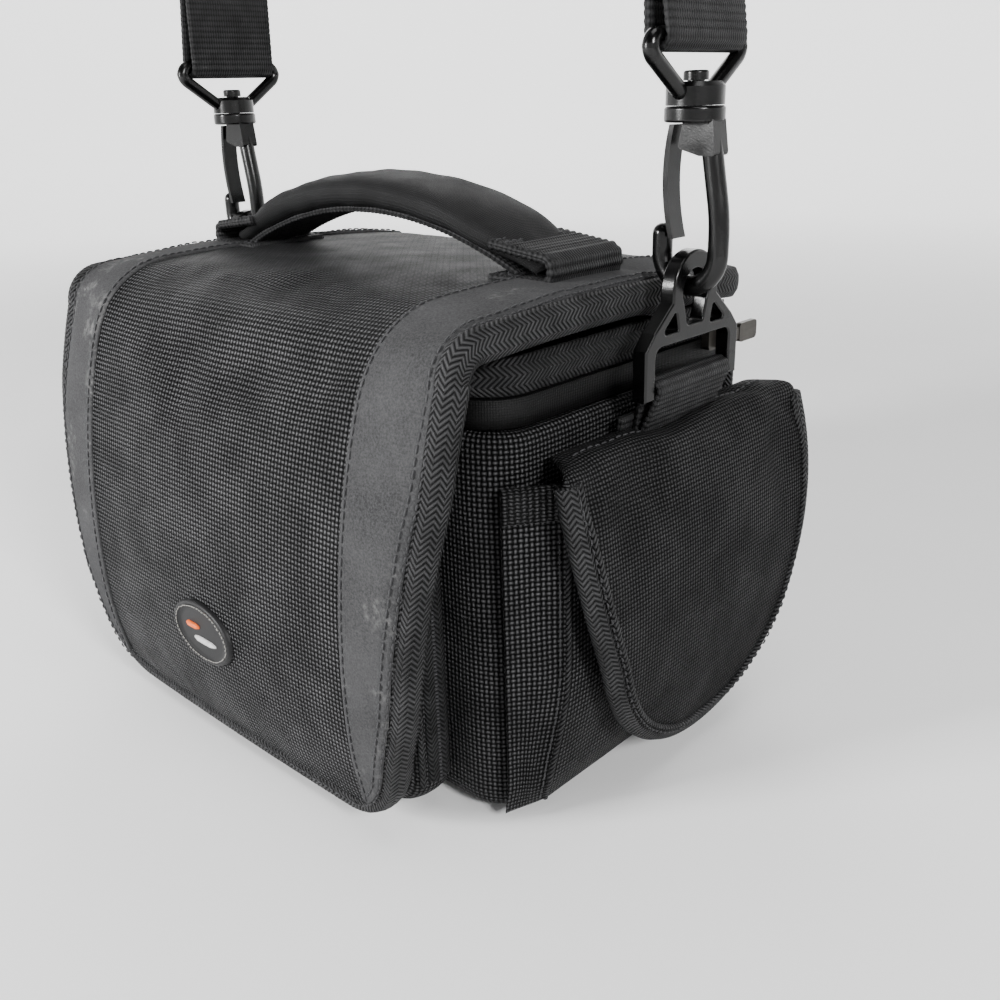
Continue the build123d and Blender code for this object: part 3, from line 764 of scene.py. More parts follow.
disc = badge()
turn = np.linspace(0, 2 * math.pi, 90)
rim_point, rim_normal = on_flap(15.0 * np.cos(turn), 9.2 * np.sin(turn), 1.75)
rim = dashes("badge_rim", rim_point, rim_normal, PALE_THREAD, stitch=1.1, gap=0.45, radius=0.22)
marks = []
bars = (("badge_bar", ORANGE, -8.5, -1.0, 1.6), ("badge_dash", GREY_MARK, -4.5, 8.0, -2.6))
for name, material, x0, x1, dz in bars:
    tips, facing = on_flap(np.array([x0, x1]), np.array([dz, dz]), 1.15)
    marks.append(capsules(name, tips[:1], tips[1:], facing[:1], 1.0, material, bow=0.0))
place(disc, "front_flap", "badge_rubber", ["badge"])
for obj in (rim, *marks):
    place(obj, "front_flap", "badge_rubber")


# ---------------------------------------------------------------- hook-and-loop patches
def patch(name, low, high, axis, depth, shape=None):
    """A short-pile patch, its face broken into small loops. low and high bound its two flat sides."""
    flat = [k for k in range(3) if k != axis]
    a, b = (np.linspace(low[k], high[k], int((high[k] - low[k]) / 0.9)) for k in flat)
    grid = np.zeros((len(a), len(b), 3))
    grid[..., flat[0]], grid[..., flat[1]] = a[:, None], b[None]
    grid[..., axis] = (low if depth < 0 else high)[axis]
    back = grid.copy()
    back[..., axis] -= depth
    grid[..., axis] += rng.uniform(0, 0.5, grid.shape[:2]) * (1 if depth > 0 else -1)
    if shape:
        grid, back = shape(grid), shape(back)
    return closed_grid(name, grid, back, *np.meshgrid(b, a), PILE)


def flap_lean(p):
    """Follows the inside of the front flap."""
    s = np.interp(-p[..., 2], -flap_line[:, 1], np.arange(len(flap_line)))
    moved = p.copy()
    moved[..., 1] += np.interp(s, np.arange(len(flap_line)), flap_line[:, 0]) + 103.0
    return moved


flap_patch = patch("flap_patch", (-40, -94.6, 66), (40, -94.6, 90), 1, 1.5, flap_lean)
place(flap_patch, "front_flap", "hook_loop", ["flap_hook_patch"])
pocket_patch = patch("pocket_patch", (-40, -89.6, 66), (40, -89.6, 90), 1, -1.6)
place(pocket_patch, "bag", "hook_loop", ["front_pocket_loop_patch"])


# ---------------------------------------------------------------- padded body, base, lining, back
def plan_loop(half, front, rear, radius):
    return rounded([(half, front), (half, rear), (-half, rear), (-half, front)], [radius] * 4, closed=True)


def band(name, loop, section, material, step=3.0, closed=True):
    """A section drawn as (inset, height) carried round a loop on the ground plane."""
    path = resample(loop, step)
    flat = np.zeros(len(path))
    inward = np.c_[left_of(path, closed), flat]
    return sweep(name, np.c_[path, flat], inward, (0, 0, 1), section, material, closed=closed)


def deform(obj, change):
    """Moves every point by a function of its place in millimetres."""
    co = np.array([v.co for v in obj.data.vertices])
    p = (co - (0, 0, FOOT)) / MM
    obj.data.vertices.foreach_set("co", (change(p) * MM + (0, 0, FOOT)).astype(np.float32).ravel())
    obj.data.update()
    return obj


def wall_sag(p):
    """Walls swell a little between their seams and are never quite flat."""
    out = p.copy()
    outward = p[:, :2] / np.array([100.0, 68.0])
    outer = smooth((np.abs(outward).max(1) - 0.9) / 0.06)
    up = np.clip((p[:, 2] - 4) / 122, 0, 1)
    amount = outer * np.sin(math.pi * up) * (0.4 + 0.8 * ripple(p, 21, 2.0))
    direction = unit(np.sign(outward) * np.abs(outward) ** 5)
    out[:, :2] += direction * amount[:, None]
    out[:, 2] -= outer * smooth((p[:, 2] - 100) / 28) * (0.8 + 0.8 * ripple(p, 30, 5.0))
    return out


body_loop = plan_loop(100, -71, 54, 15)
heights = np.linspace(9, 124, 30)
wall = [(6, 2.6), (2.6, 3.4), (0.8, 5.6)] + [(0, z) for z in heights]
wall += [(0.6, 126.6), (2.2, 128), (4.8, 128), (6.4, 126.8)]
wall += [(7, z) for z in np.linspace(124, 12, 14)] + [(7, 5.8)]
shell = band("body_wall", body_loop, wall, WALL)
deform(shell, wall_sag)
place(shell, "bag", "weave", ["body_shell"], 0.5)
liner_loop = plan_loop(92.7, -63.7, 46.7, 8)
liner_section = [(0, z) for z in np.linspace(6, 121, 20)] + [(0.3, z) for z in np.linspace(121, 6, 20)]
liner = band("body_lining", liner_loop, liner_section, LINING)
place(liner, "bag", "lining")


def cushion(name, half, z, radius, material, bulge=1.0):
    """A flat padded board, rounded in plan: rings drawn in from the edge."""
    loop = resample(plan_loop(*half, radius), 4.0)[:-1]
    centre = loop.mean(0)
    shares = [1.0, 0.995, 0.97, 0.9, 0.75, 0.5, 0.25, 0.02]
    low = [(f, z[0] + (1 - f) * 0.2) for f in shares[::-1]]
    high = [(f, z[1] - 1.2 * (f > 0.99) + bulge * math.sqrt(max(0, 1 - f)) * 0.6) for f in shares]
    rings = low + [(1.0, (z[0] + z[1]) / 2)] + high
    points = np.array([np.c_[centre + (loop - centre) * f, np.full(len(loop), h)] for f, h in rings])
    ids = np.arange(points.shape[0] * points.shape[1]).reshape(points.shape[:2])
    wrap = np.c_[ids, ids[:, :1]]
    flat = np.concatenate([points, points[:, :1]], 1)
    faces, uv = grid_faces(wrap, flat[..., 0], flat[..., 1])
    for k in (0, -1):
        faces.append([int(i) for i in ids[k]])
        uv = np.concatenate([uv, points[k][:, :2]])
    return new_object(name, points, faces, uv, material)


base = cushion("base_board", (92, -63, 46), (0.0, 5.4), 10, COATED, 0)
place(base, "bag", "coated", ["base_panel"])
pad = cushion("floor_cushion", (92, -63, 46), (5.6, 10.2), 7, LINING)
place(bake(pad, 0), "bag", "padding", ["floor_pad"], 0.6)


def upright(name, x, y, z, thick, material, cap, step=5.0):
    """A padded board standing across the compartment."""
    ys, zs = np.linspace(*y, int((y[1] - y[0]) / step)), np.linspace(*z, int((z[1] - z[0]) / step))
    v, u = np.meshgrid(zs, ys, indexing="ij")
    front = np.stack([np.full(u.shape, x + thick / 2), u, v], -1)
    back = front - (thick, 0, 0)
    return bake(puff(closed_grid(name, front, back, u, v, material), 3.0, cap))


divider = upright("divider_board", 23, (-62.6, 45.6), (11.2, 115.8), 5.6, LINING, 1.0)
place(divider, "compartment_divider", "padding", ["divider"], 0.6)

# back panel with its binding and belt loop
back_face = rounded([(95, 4.6), (95, 147), (-95, 147), (-95, 4.6)], [16] * 4, closed=True)


def back_board():
    zs = np.linspace(5.2, 146.4, 30)
    right = np.array([np.interp(z, [5, 9.3, 21, 131, 142, 147], [80, 90.3, 95, 95, 90.3, 80]) for z in zs])
    f = np.linspace(-1, 1, 39)
    lat = right[:, None] * f[None]
    v = np.broadcast_to(zs[:, None], lat.shape)
    groove = np.minimum(np.abs(np.abs(lat) - 46), np.abs(v - 120))
    swell = 57.0 + 0.7 * smooth(groove / 6)
    front = np.stack([lat, swell, v], -1)
    back = np.stack([lat, np.full(lat.shape, 54.2), v], -1)
    return bake(puff(closed_grid("back_board", front, back, lat, v, PADDING), 2.0, 0.9))


place(back_board(), "bag", "padding", ["back_panel"], 0.5)
edge = resample(back_face, 0.6)
inward = at_depth(left_of(edge, closed=True), 0)
fold = [(4, 0.2), (3.4, 0.9), (1.6, 1.1), (-0.6, 0.4), (-1.1, -1.4), (-0.6, -3.0), (2, -3.2)]
back_wave = (0.18, 1.7, [0.5, 1, 1, 1, 0, 0, 0])
back_tape = sweep("back_binding", at_depth(edge, 57.2), inward, (0, 1, 0), fold, BRAID,
                  closed=True, wave=back_wave)
place(back_tape, "bag", "braid")

loop_path = rounded([(58.6, 108), (58.6, 99), (65, 92), (65, 40), (58.6, 33), (58.6, 24)], [0, 5, 5, 5, 5, 0])
loop3 = np.stack([np.zeros(len(loop_path)), loop_path[:, 0], loop_path[:, 1]], 1)
belt = webbing("belt_webbing", loop3, (1, 0, 0), 54, 1.8, TAPE)
place(belt, "bag", "webbing", ["belt_loop"])
belt_seams = []
for k, z in enumerate((105.5, 101.0, 31.0, 26.5)):
    belt_seams.append(stitch_row(f"belt_seam_{k}", (-25, 59.75, z), (25, 59.75, z), 30, (0, 1.0, 0)))
place(merge("belt_seams", belt_seams), "bag", "webbing")

# fabric hinge between the back panel and the lid
hinge_line = Surface([(57.4, 139.0), (57.8, 143.0), (57.9, 152.0), (57.3, 156.0)], "x", -1)
hinge_rows = np.linspace(0.2, hinge_line.s[-1] - 0.2, 16)
hinge = bake(hinge_line.slab("lid_hinge_cloth", hinge_rows, -88.0, 88.0, 30, 1.2, COATED, lift=1.1))
hinge_ends = np.array([-85.0, 85.0])
hinge_seam = hinge_line.seam("lid_hinge_seam", hinge_ends, np.array([2.4, 2.4]), THREAD, lift=1.25)
place(hinge, HINGE_BEND, "coated")
place(hinge_seam, "bag", "coated")

# ---------------------------------------------------------------- zips round the mouth
mouth = rounded([(98, 44), (98, -69), (-98, -69), (-98, 44)], [0, 15, 15, 0])
mouth_section = [(0, 128.2), (-0.3, 132), (0, 136.4), (0.5, 136.8), (2.4, 136.8), (2.4, 128.2)]
lower = band("zip_tape_low", mouth[::-1], mouth_section, COATED, closed=False)
upper_section = [(0, 137.6), (-0.9, 139.5), (-1.3, 143), (-0.6, 148.2), (2.4, 148.2), (2.4, 137.6)]
upper = band("zip_tape_high", mouth[::-1], upper_section, ZIP_TAPE, closed=False)
place(lower, "bag", "zip_tape", ["body_zip_tape"])
place(upper, "lid", "zip_tape", ["lid_zip_tape"])


TOOTH_PITCH = 1.3


def coil(name, path, z, material):
    """Small overlapping teeth standing across a zip's line."""
    path = resample(path, TOOTH_PITCH)
    out = np.c_[left_of(path), np.zeros(len(path))]
    if (out[:, :2] * path).sum() < 0:
        out = -out
    centre = np.c_[path, np.full(len(path), z)] - out * 2.6
    up = np.array((0, 0, 0.75))
    return capsules(name, centre - up, centre + up, out, 0.42, material, bow=0.3)


place(coil("teeth_low", mouth, 136.75, THREAD), "bag", "zip_tape")
place(coil("teeth_high", mouth[::-1], 137.75, THREAD), "lid", "zip_tape")

# ---------------------------------------------------------------- front pocket under the flap
POCKET_MIDDLE = 55.0      # height of the front pocket's middle
ZIP_Y = -78.6             # depth of its zip
pocket_outline = rounded([(78, 105.6), (-78, 105.6), (-78, 4.2), (78, 4.2)], [22, 22, 12, 12], closed=True)


def box_pocket():
    """Gusset and face as one soft box: rings from the body out to the face's middle."""
    loop = resample(pocket_outline, 4.0)[:-1]
    centre = np.array([0.0, POCKET_MIDDLE])
    stations = [(1.0, -71.2), (1.012, -74.5), (1.015, -78.5), (1.012, -82), (1.0, -85.4), (0.985, -87.0)]
    stations += [(0.955, -87.6), (0.9, -88.0), (0.75, -88.3), (0.55, -88.6)]
    stations += [(0.35, -88.8), (0.15, -88.8), (0.02, -88.8)]
    points = []
    for f, y in stations:
        ring = centre + (loop - centre) * f
        points.append(np.stack([ring[:, 0], np.full(len(ring), y), ring[:, 1]], 1))
    points = np.array(points)
    points[2:6, :, :] += 0.35 * ripple(points[2:6], 9, 3.0)[..., None] * (1, 0, 1)
    ids = np.arange(points.shape[0] * points.shape[1]).reshape(points.shape[:2])
    wrap = np.c_[ids, ids[:, :1]]
    around = np.tile(np.arange(len(loop) + 1) * 4.0, (len(stations), 1))
    out = np.tile(lengths(np.array([(f * 60, y) for f, y in stations]))[:, None], (1, len(loop) + 1))
    faces, uv = grid_faces(wrap, out, around)
    for k in (0, -1):
        faces.append([int(i) for i in ids[k]])
        uv = np.concatenate([uv, points[k][:, (0, 2)]])
    return bake(new_object("front_pocket_box", points, faces, uv, WALL))


place(box_pocket(), "bag", "weave", ["front_pocket_gusset", "front_pocket_face"], 0.4)


def round_pocket(name, section, material, wave=None):
    """A section (outwards, towards the viewer) carried round the front pocket's sides and top."""
    loop = resample(pocket_outline[:-1], 0.6)
    loop = loop[loop[:, 1] > 14]
    start = np.argmax(np.linalg.norm(np.diff(loop, axis=0), axis=1)) + 1
    if start < len(loop) - 1:
        loop = np.roll(loop, -start, axis=0)
    outward = -at_depth(left_of(loop), 0)
    if (outward[:, (0, 2)] * (loop - (0, POCKET_MIDDLE))).sum() < 0:
        outward = -outward
    spine = at_depth(loop, ZIP_Y)
    return sweep(name, spine, outward, (0, -1, 0), section, material, wave=wave), spine, outward


cover_section = [(0.2, -4.6), (1.6, -4.2), (1.9, -0.7), (1.4, 0), (1.9, 0.7), (1.6, 4.2), (0.2, 4.6)]
tape_front, spine, outward = round_pocket("pocket_zip_tape", cover_section, ZIP_TAPE)
place(tape_front, "bag", "zip_tape", ["front_pocket_zip_tape"])
piping_section = [(0.6, 5.6), (1.8, 6.2), (1.9, 7.4), (0.6, 8.0), (-0.4, 7.0)]
piped, *_ = round_pocket("pocket_piping", piping_section, BRAID, wave=(0.15, 1.6, [1, 1, 1, 0, 0]))
place(piped, "bag", "braid")
teeth_path = resample(spine + outward * 1.7, TOOTH_PITCH)
teeth_out = unit(teeth_path - (0, ZIP_Y, POCKET_MIDDLE))
half_tooth = (0, 0.7, 0)
tooth_ends = teeth_path - half_tooth, teeth_path + half_tooth
teeth = capsules("pocket_teeth", *tooth_ends, teeth_out, 0.4, THREAD, 0.2)
place(teeth, "bag", "zip_tape")

# ---------------------------------------------------------------- side pockets (drawn on the right, mirrored)
POCKET_TOP = 113.0
WALL_X = 100.2           # where the pocket meets the body's side


def pocket_taper(p):
    """The pocket leans in towards its foot, and its fabric pulls unevenly."""
    out = p.copy()
    low = 1 - smooth(p[:, 2] / 58)
    foot = 1 - smooth(p[:, 2] / 17)
    out[:, 0] = WALL_X + (p[:, 0] - WALL_X) * (1 - 0.42 * low) * (1 - 0.4 * foot) - 2.2 * foot
    out[:, 1] -= np.where(p[:, 1] < 0, (5.5 * low - 4.5 * foot) * smooth((p[:, 0] - 101) / 8), 0)
    side = smooth((p[:, 0] - 101) / 5) * np.sin(math.pi * np.clip(p[:, 2] / POCKET_TOP, 0, 1))
    fold = 0.55 * ripple(p * (1, 1, 0.55), 9, 1.3) + 0.5 * ripple(p, 26, 4.0)
    out[:, 0] += side * fold
    out[:, 1] -= side * 0.8 * fold * (p[:, 1] < -40)
    return out


pocket_line = rounded([(WALL_X, 52), (112, 45), (112, -53), (WALL_X, -69.5)], [0, 6, 5, 0])
hs = np.linspace(6, POCKET_TOP - 1, 28)
pocket_section = [(2.2, 4), (0.6, 4.4)] + [(0, z) for z in hs]
pocket_section += [(0.6, POCKET_TOP), (1.8, POCKET_TOP), (2.4, POCKET_TOP - 1)]
pocket_section += [(2.6, z) for z in hs[::-2]]
gusset = band("side_pocket_right", pocket_line[::-1], pocket_section, WALL, step=2.0, closed=False)
deform(gusset, pocket_taper)


def plate(name, outline, z, material):
    """A flat piece filled inside an outline on the ground plane."""
    ring = np.asarray(outline, float)
    n = len(ring)
    points = np.vstack([np.c_[ring, np.full(n, z[0])], np.c_[ring, np.full(n, z[1])]])
    faces = [list(range(n)), list(range(2 * n - 1, n - 1, -1))]
    faces += [[i, (i + 1) % n, n + (i + 1) % n, n + i] for i in range(n)]
    uv = np.concatenate([points[f][:, :2] for f in faces])
    return new_object(name, points, faces, uv, material)


bottom_outline = [(97.5, 49), (101.6, 45), (101.8, -53), (97.5, -65)]
bottom = plate("side_pocket_base_right", bottom_outline, (4.4, 6.0), WALL)
elastic_profile = [(-0.3, -10), (-1.1, -9.4), (-1.2, -5), (-1.1, -0.4), (0.4, 0.5), (2.9, 0), (2.9, -10)]
elastic_section = [(inset, POCKET_TOP + z) for inset, z in elastic_profile]
elastic_path = resample(pocket_line[::-1], 0.55)
flat = np.zeros(len(elastic_path))
inward = np.c_[left_of(elastic_path), flat]
gather = 0.7 * np.abs(np.sin(math.pi * lengths(elastic_path) / 2.2))
elastic_spine = np.c_[elastic_path, flat] - inward * gather[:, None]
elastic = sweep("pocket_elastic_right", elastic_spine, inward, (0, 0, 1), elastic_section, ELASTIC)
edge_z = np.linspace(5, POCKET_TOP - 10, 120)
corner = pocket_taper(np.stack([np.full(120, 111.7), np.full(120, -54.0), edge_z], 1))
CORD = 0.85              # radius of the piping cords
turns = np.linspace(0, 2 * math.pi, 8, endpoint=False)
cord_section = [(CORD * math.cos(a), CORD * math.sin(a)) for a in turns]
piping = sweep("pocket_piping_right", corner, (0.707, 0.707, 0), (0.707, -0.707, 0), cord_section, BRAID)
seam_line = pocket_taper(np.stack([np.full(100, 110.4), np.full(100, -56.4), np.linspace(8, 101, 100)], 1))
seam_facing = np.tile((0.8, -0.6, 0), (100, 1))
pocket_seam = dashes("pocket_seam_right", seam_line + (0.25, -0.2, 0), seam_facing, THREAD, radius=0.24)
pair(gusset, "bag", "weave", ["side_pocket_right"], 0.3)
pair(bottom, "bag", "weave")
pair(elastic, "bag", "webbing", ["pocket_band_right"])
pair(piping, "bag", "braid")
pair(pocket_seam, "bag", "weave")

# padded D-shaped side flap
SIDE_ARC = ((118, 116.5), (122.8, 62), (117.4, 9))
side_shoulder = rounded([(102, 119.4), (117.6, 120.2), (118.1, 116.5)], [0, 3, 0])


def side_swell(y, s):
    return 0.8 * np.clip(1 - ((y - 3) / 66) ** 2, 0, 1) * smooth((s - 14) / 40)


side = Surface(np.vstack([side_shoulder, arc3(*SIDE_ARC, 40)[1:]]), "y", -1, side_swell)
S_FLAP = side.along(115.5)
S_END = side.s[-1]
flap_sides = np.vstack([
    [(64, S_FLAP)], arc3((64, S_FLAP + 0.5), (67.5, side.along(86)), (61, side.along(52)), 14)[1:],
    arc3((61, side.along(52)), (5, S_END), (-47, side.along(52)), 46)[1:],
    arc3((-47, side.along(52)), (-57.5, side.along(84)), (-63, S_FLAP), 14)[1:]])
lowest = int(np.argmax(flap_sides[:, 1]))


def flap_bounds(s, margin):
    """Front and rear limits of the side flap, margin inside its edge."""
    rear = shifted(flap_sides[: lowest + 1], margin)
    front = shifted(flap_sides[lowest:], margin)[::-1]
    return np.interp(s, front[:, 1], front[:, 0]), np.interp(s, rear[:, 1], rear[:, 0])


last = S_END - 1.6
d_rows = np.r_[np.linspace(0.5, last - 22, 26), last - 22 * np.cos(np.linspace(0.25, 1.5, 8))]
d_low, d_high = flap_bounds(d_rows, 1.2)
to_wall = 9 * (1 - smooth((d_rows - 2) / 15))
d_thick = np.interp(d_rows, [0, 12, 22], [2.2, 3.0, 4.3])
d_limits = d_low + to_wall, d_high - to_wall
d_panel = side.slab("side_flap_panel_right", d_rows, *d_limits, 28, d_thick, FLAP_WEAVE)
bake(puff(d_panel, 3.0, 1.6))
side.settle(d_panel)
d_tape = side.binding("side_flap_tape_right", flap_sides, 5.2, 4.3, BRAID, plump=0.8)
ridge = shifted(resample(flap_sides, 0.6), 5.6)
ridge_point, ridge_normal = side.at(*ridge.T, 0.35)
ridge_in = unit(np.cross(np.gradient(ridge_point, axis=0), ridge_normal))
d_ridge = sweep("side_flap_piping_right", ridge_point, ridge_in, ridge_normal, cord_section, BRAID)
tape_seam = shifted(resample(flap_sides, 1.5), 3.9)
seam_point, seam_normal = side.at(*tape_seam.T, 1.05)
d_seam = dashes("side_flap_seam_right", seam_point, seam_normal, THREAD, stitch=2.0, gap=1.0, radius=0.26)
top_seam = side.seam("side_flap_top_seam_right", np.array([-50, 51.0]), np.array([8.0, 8.0]), THREAD)
pair(d_panel, SIDE_BEND, "coated", ["side_flap_right"], 0.5)
pair(d_tape, SIDE_BEND, "braid", ["side_flap_binding_right"])
pair(d_ridge, SIDE_BEND, "braid")
pair(d_seam, SIDE_BEND, "braid")
pair(top_seam, SIDE_BEND, "coated")


def side_lean(p):
    """Follows the inside of the side flap."""
    arc = arc3(*SIDE_ARC, 60)
    moved = p.copy()
    moved[..., 0] = p[..., 0] - 117.0 + np.interp(-p[..., 2], -arc[:, 1], arc[:, 0])
    return moved


side_hook = patch("side_hook_right", (112.7, -20, 30), (112.7, 30, 50), 0, -1.4, side_lean)
pair(side_hook, "pocket_flap_right", "hook_loop", ["side_hook_patch_right"])
side_loop = patch("side_loop_right", (113.2, -22, 28), (113.2, 32, 52), 0, 1.6)
pair(side_loop, "bag", "hook_loop", ["side_loop_patch_right"])

# ---------------------------------------------------------------- ring tabs
bar_x, bar_z, wrap = 112.5, 132.0, 3.1       # the ring's bar, and the radius at which webbing passes it
tab_arc = arc3((bar_x + wrap, bar_z), (bar_x, bar_z + wrap), (bar_x - wrap, bar_z), 14)
tab_line = np.vstack([[(108.2, 93), (108.2, 116)], tab_arc, [(106.4, 116), (106.4, 93)]])
tab = webbing("ring_webbing_right", at_depth(tab_line, 1.5), (0, 1, 0), 38, 1.5, TAPE)
under_line = np.array([(104.4, 1.5, 90), (104.4, 1.5, 116), (105.8, 1.5, 124)]) - (0, 4.5, 0)
under = webbing("ring_base_right", under_line, (0, 1, 0), 40, 1.6, TAPE)
pair(tab, "bag", "webbing", ["ring_tab_right"])
pair(under, "bag", "webbing")

# ---------------------------------------------------------------- carrying handle
HANDLE_Y = -15.0
handle_arc = resample(arc3((-78, 170.0), (0, 190.0), (78, 170.0), 80), 1.6)


def handle_section():
    """Padded oval, wider than thick, with fine ribs low on its front."""
    a = np.linspace(0, 2 * math.pi, 96, endpoint=False)
    across = 16.5 * np.sign(np.cos(a)) * np.abs(np.cos(a)) ** 0.8
    height = 6.0 * np.sign(np.sin(a)) * np.abs(np.sin(a)) ** 0.9
    ribbed = smooth((-np.cos(a) - 0.15) / 0.3) * smooth((0.3 - np.sin(a)) / 0.3)
    rib = 0.30 * np.abs(np.sin(a * 24)) * ribbed
    return np.stack([across * (1 + rib / 12), height * (1 + rib / 5)], 1)


GRIP_DROP = 4.9          # the grip's middle lies this far below the top line
handle_up = at_depth(left_of(handle_arc), 0)
handle_up *= np.sign(handle_up[:, 2:])
grip_spine = at_depth(handle_arc - (0, GRIP_DROP), HANDLE_Y)
grip = sweep("handle_grip", grip_spine, (0, 1, 0), handle_up, handle_section(), HANDLE_CLOTH)
fullness = smooth(np.clip((78 - np.abs(handle_arc[:, 0])) / 26, 0, 1))


def handle_shape(p):
    """Narrows and flattens the grip towards its ends, and lets its cloth pull unevenly."""
    out = p.copy()
    wide, line, thick = (np.interp(p[:, 0], handle_arc[:, 0], row) for row in (
        0.72 + 0.28 * fullness, handle_arc[:, 1] - GRIP_DROP, 0.55 + 0.45 * fullness))
    out[:, 1] = HANDLE_Y + (p[:, 1] - HANDLE_Y) * wide
    out[:, 2] = line + (p[:, 2] - line) * thick
    out[:, 2] += 0.35 * ripple(p, 8, 2.2)
    return out


deform(grip, handle_shape)
place(grip, "lid", "padding", ["handle_pad"], 0.7)
core = at_depth(handle_arc - (0, 10.6), HANDLE_Y)
place(webbing("handle_core", core, (0, 1, 0), 25, 1.8, TAPE), "lid", "webbing", ["handle_webbing"])
anchor_line = rounded([(62, 172.6), (86.5, 169.4), (86.5, 162.6), (62, 162.2)], [0, 3.2, 3.2, 0])
anchor_path = at_depth(anchor_line, HANDLE_Y)
anchor = webbing("handle_anchor_webbing_right", anchor_path, (0, 1, 0), 34, 2.2, TAPE, pitch=2.6, rib=0.6)
pair(anchor, "lid", "webbing", ["handle_anchor_right"])
stitch_from, stitch_to = HANDLE_Y - 16, HANDLE_Y + 16
anchor_rows = []
for k, (x, z) in enumerate(((65, 173.9), (68.5, 173.4), (66.5, 163.9), (69.5, 163.9))):
    ends = (x, stitch_from, z), (x, stitch_to, z)
    heavy = {"stitch": 2.4, "gap": 0.7, "radius": 0.34}
    anchor_rows.append(stitch_row(f"anchor_seam_{k}", *ends, 12, (0, 0, 1.0), **heavy))
pair(merge("anchor_seams_right", anchor_rows), "lid", "webbing")

# ---------------------------------------------------------------- shoulder strap
BAR = (113.0, 228.0)     # the strap ring's bar
TURN = 3.4               # radius at which the webbing passes round it
SHOULDER = (105.5, 300.0)
slope = (BAR[0] + TURN - SHOULDER[0]) / (SHOULDER[1] - BAR[1])
round_bar = arc3((BAR[0] + TURN, BAR[1]), (BAR[0], BAR[1] - TURN), (BAR[0] - TURN, BAR[1]), 14)
folded = (BAR[0] + TURN - slope * 44 - 1.9, BAR[1] + 44)
leg = np.vstack([[SHOULDER], round_bar, [folded]])
arch = arc3((105.5, 300), (0, 403), (-105.5, 300), 90)
strap_path = at_depth(np.vstack([leg[::-1], arch[1:-1], leg * (-1, 1)]), 0)
strap = webbing("shoulder_webbing", strap_path, (0, 1, 0), 38, 1.5, TAPE, pitch=2.1, rib=0.34, step=0.52)
place(strap, "bag", "webbing", ["strap_webbing"])

box_seams = []
for hand in (1, -1):
    for k, z in enumerate((238.0, 242.0, 266.0, 270.0)):
        x = hand * (BAR[0] + TURN - slope * (z - BAR[1]) + 1.05)
        ends = (x, -16.5, z), (x, 16.5, z)
        box_seams.append(stitch_row(f"box_{hand}_{k}", *ends, 14, (hand, 0, 0.0), radius=0.32))
place(merge("strap_end_seams", box_seams), "bag", "webbing")

arch_surface = Surface(arc3((-104, 302), (0, 401.8), (104, 302), 90), "y", -1)
mid_s = arch_surface.s[-1] / 2
PAD_HALF = 118.0
pad_from, pad_to = mid_s - PAD_HALF, mid_s + PAD_HALF
pad_rows = np.r_[pad_from, pad_from + 3, np.linspace(pad_from + 8, pad_to - 8, 48), pad_to - 3, pad_to]
pad_width = 29 * np.clip(1 - (np.abs(pad_rows - mid_s) / (PAD_HALF + 26)) ** 6, 0, 1) ** 0.5
shoulder = arch_surface.slab("shoulder_pad", pad_rows, -pad_width, pad_width, 14, 5.6, PADDING, lift=-0.2)
bake(puff(shoulder, 2.5, 1.0))
place(shoulder, "bag", "padding", ["strap_pad"], 0.6)
pad_edge = np.vstack([np.c_[pad_width, pad_rows], np.c_[-pad_width, pad_rows][::-1]])
pad_edge = np.vstack([pad_edge, pad_edge[:1]])
pad_tape = arch_surface.binding("shoulder_pad_binding", pad_edge, 4.0, 5.6, BRAID, closed=True)
place(pad_tape, "bag", "braid")

keeper_rows = []
for s_mid in (mid_s - 68, mid_s + 68):
    lat = np.linspace(-26, 26, 30)
    over = 2.6 * smooth((22.0 - np.abs(lat)) / 3) + 0.6
    point, facing = arch_surface.at(lat, np.full(30, s_mid), 0.0)
    line = point + facing * over[:, None]
    ahead = arch_surface.at(0.0, s_mid + 1.0)[0] - arch_surface.at(0.0, s_mid - 1.0)[0]
    keeper_rows.append(webbing(f"keeper_{len(keeper_rows)}", line, ahead, 16, 1.2, TAPE, rib=0.2))
place(merge("pad_bridges", keeper_rows), "bag", "webbing", ["pad_keepers"])

# ---------------------------------------------------------------- hard parts keep their CAD shape
for part in ("side_ring", "hook_frame", "hook_gate", "hook_rivet", "strap_ring"):
    repaint(PLASTIC, f"{part}_right", f"{part}_left")
repaint(PLASTIC, "strap_adjuster")
for part in ("zip_slider", "zip_pull"):
    repaint(METAL, f"{part}_right", f"{part}_left")
repaint(METAL, "front_zip_slider", "front_zip_pull")

# the webbing's path from one strap ring's bar to the other, in the shared frame; nothing uses it
run = at_depth(np.vstack([[(BAR[0] + TURN, BAR[1])], arch, [(-BAR[0] - TURN, BAR[1])]]), 0)
run = resample(run, 4.0) * MM + (0, 0, FOOT)

# ---------------------------------------------------------------- floor, light, camera
def aim(obj, position, target):
    obj.location = position
    obj.rotation_euler = (Vector(target) - Vector(position)).to_track_quat("-Z", "Y").to_euler()
    scene.collection.objects.link(obj)


FLOOR_GAP = 0.0002                # the floor lies this far under the bag, in metres
AWAY = (-0.69, 0.72, 0.0)         # from the camera through the bag, flat on the ground


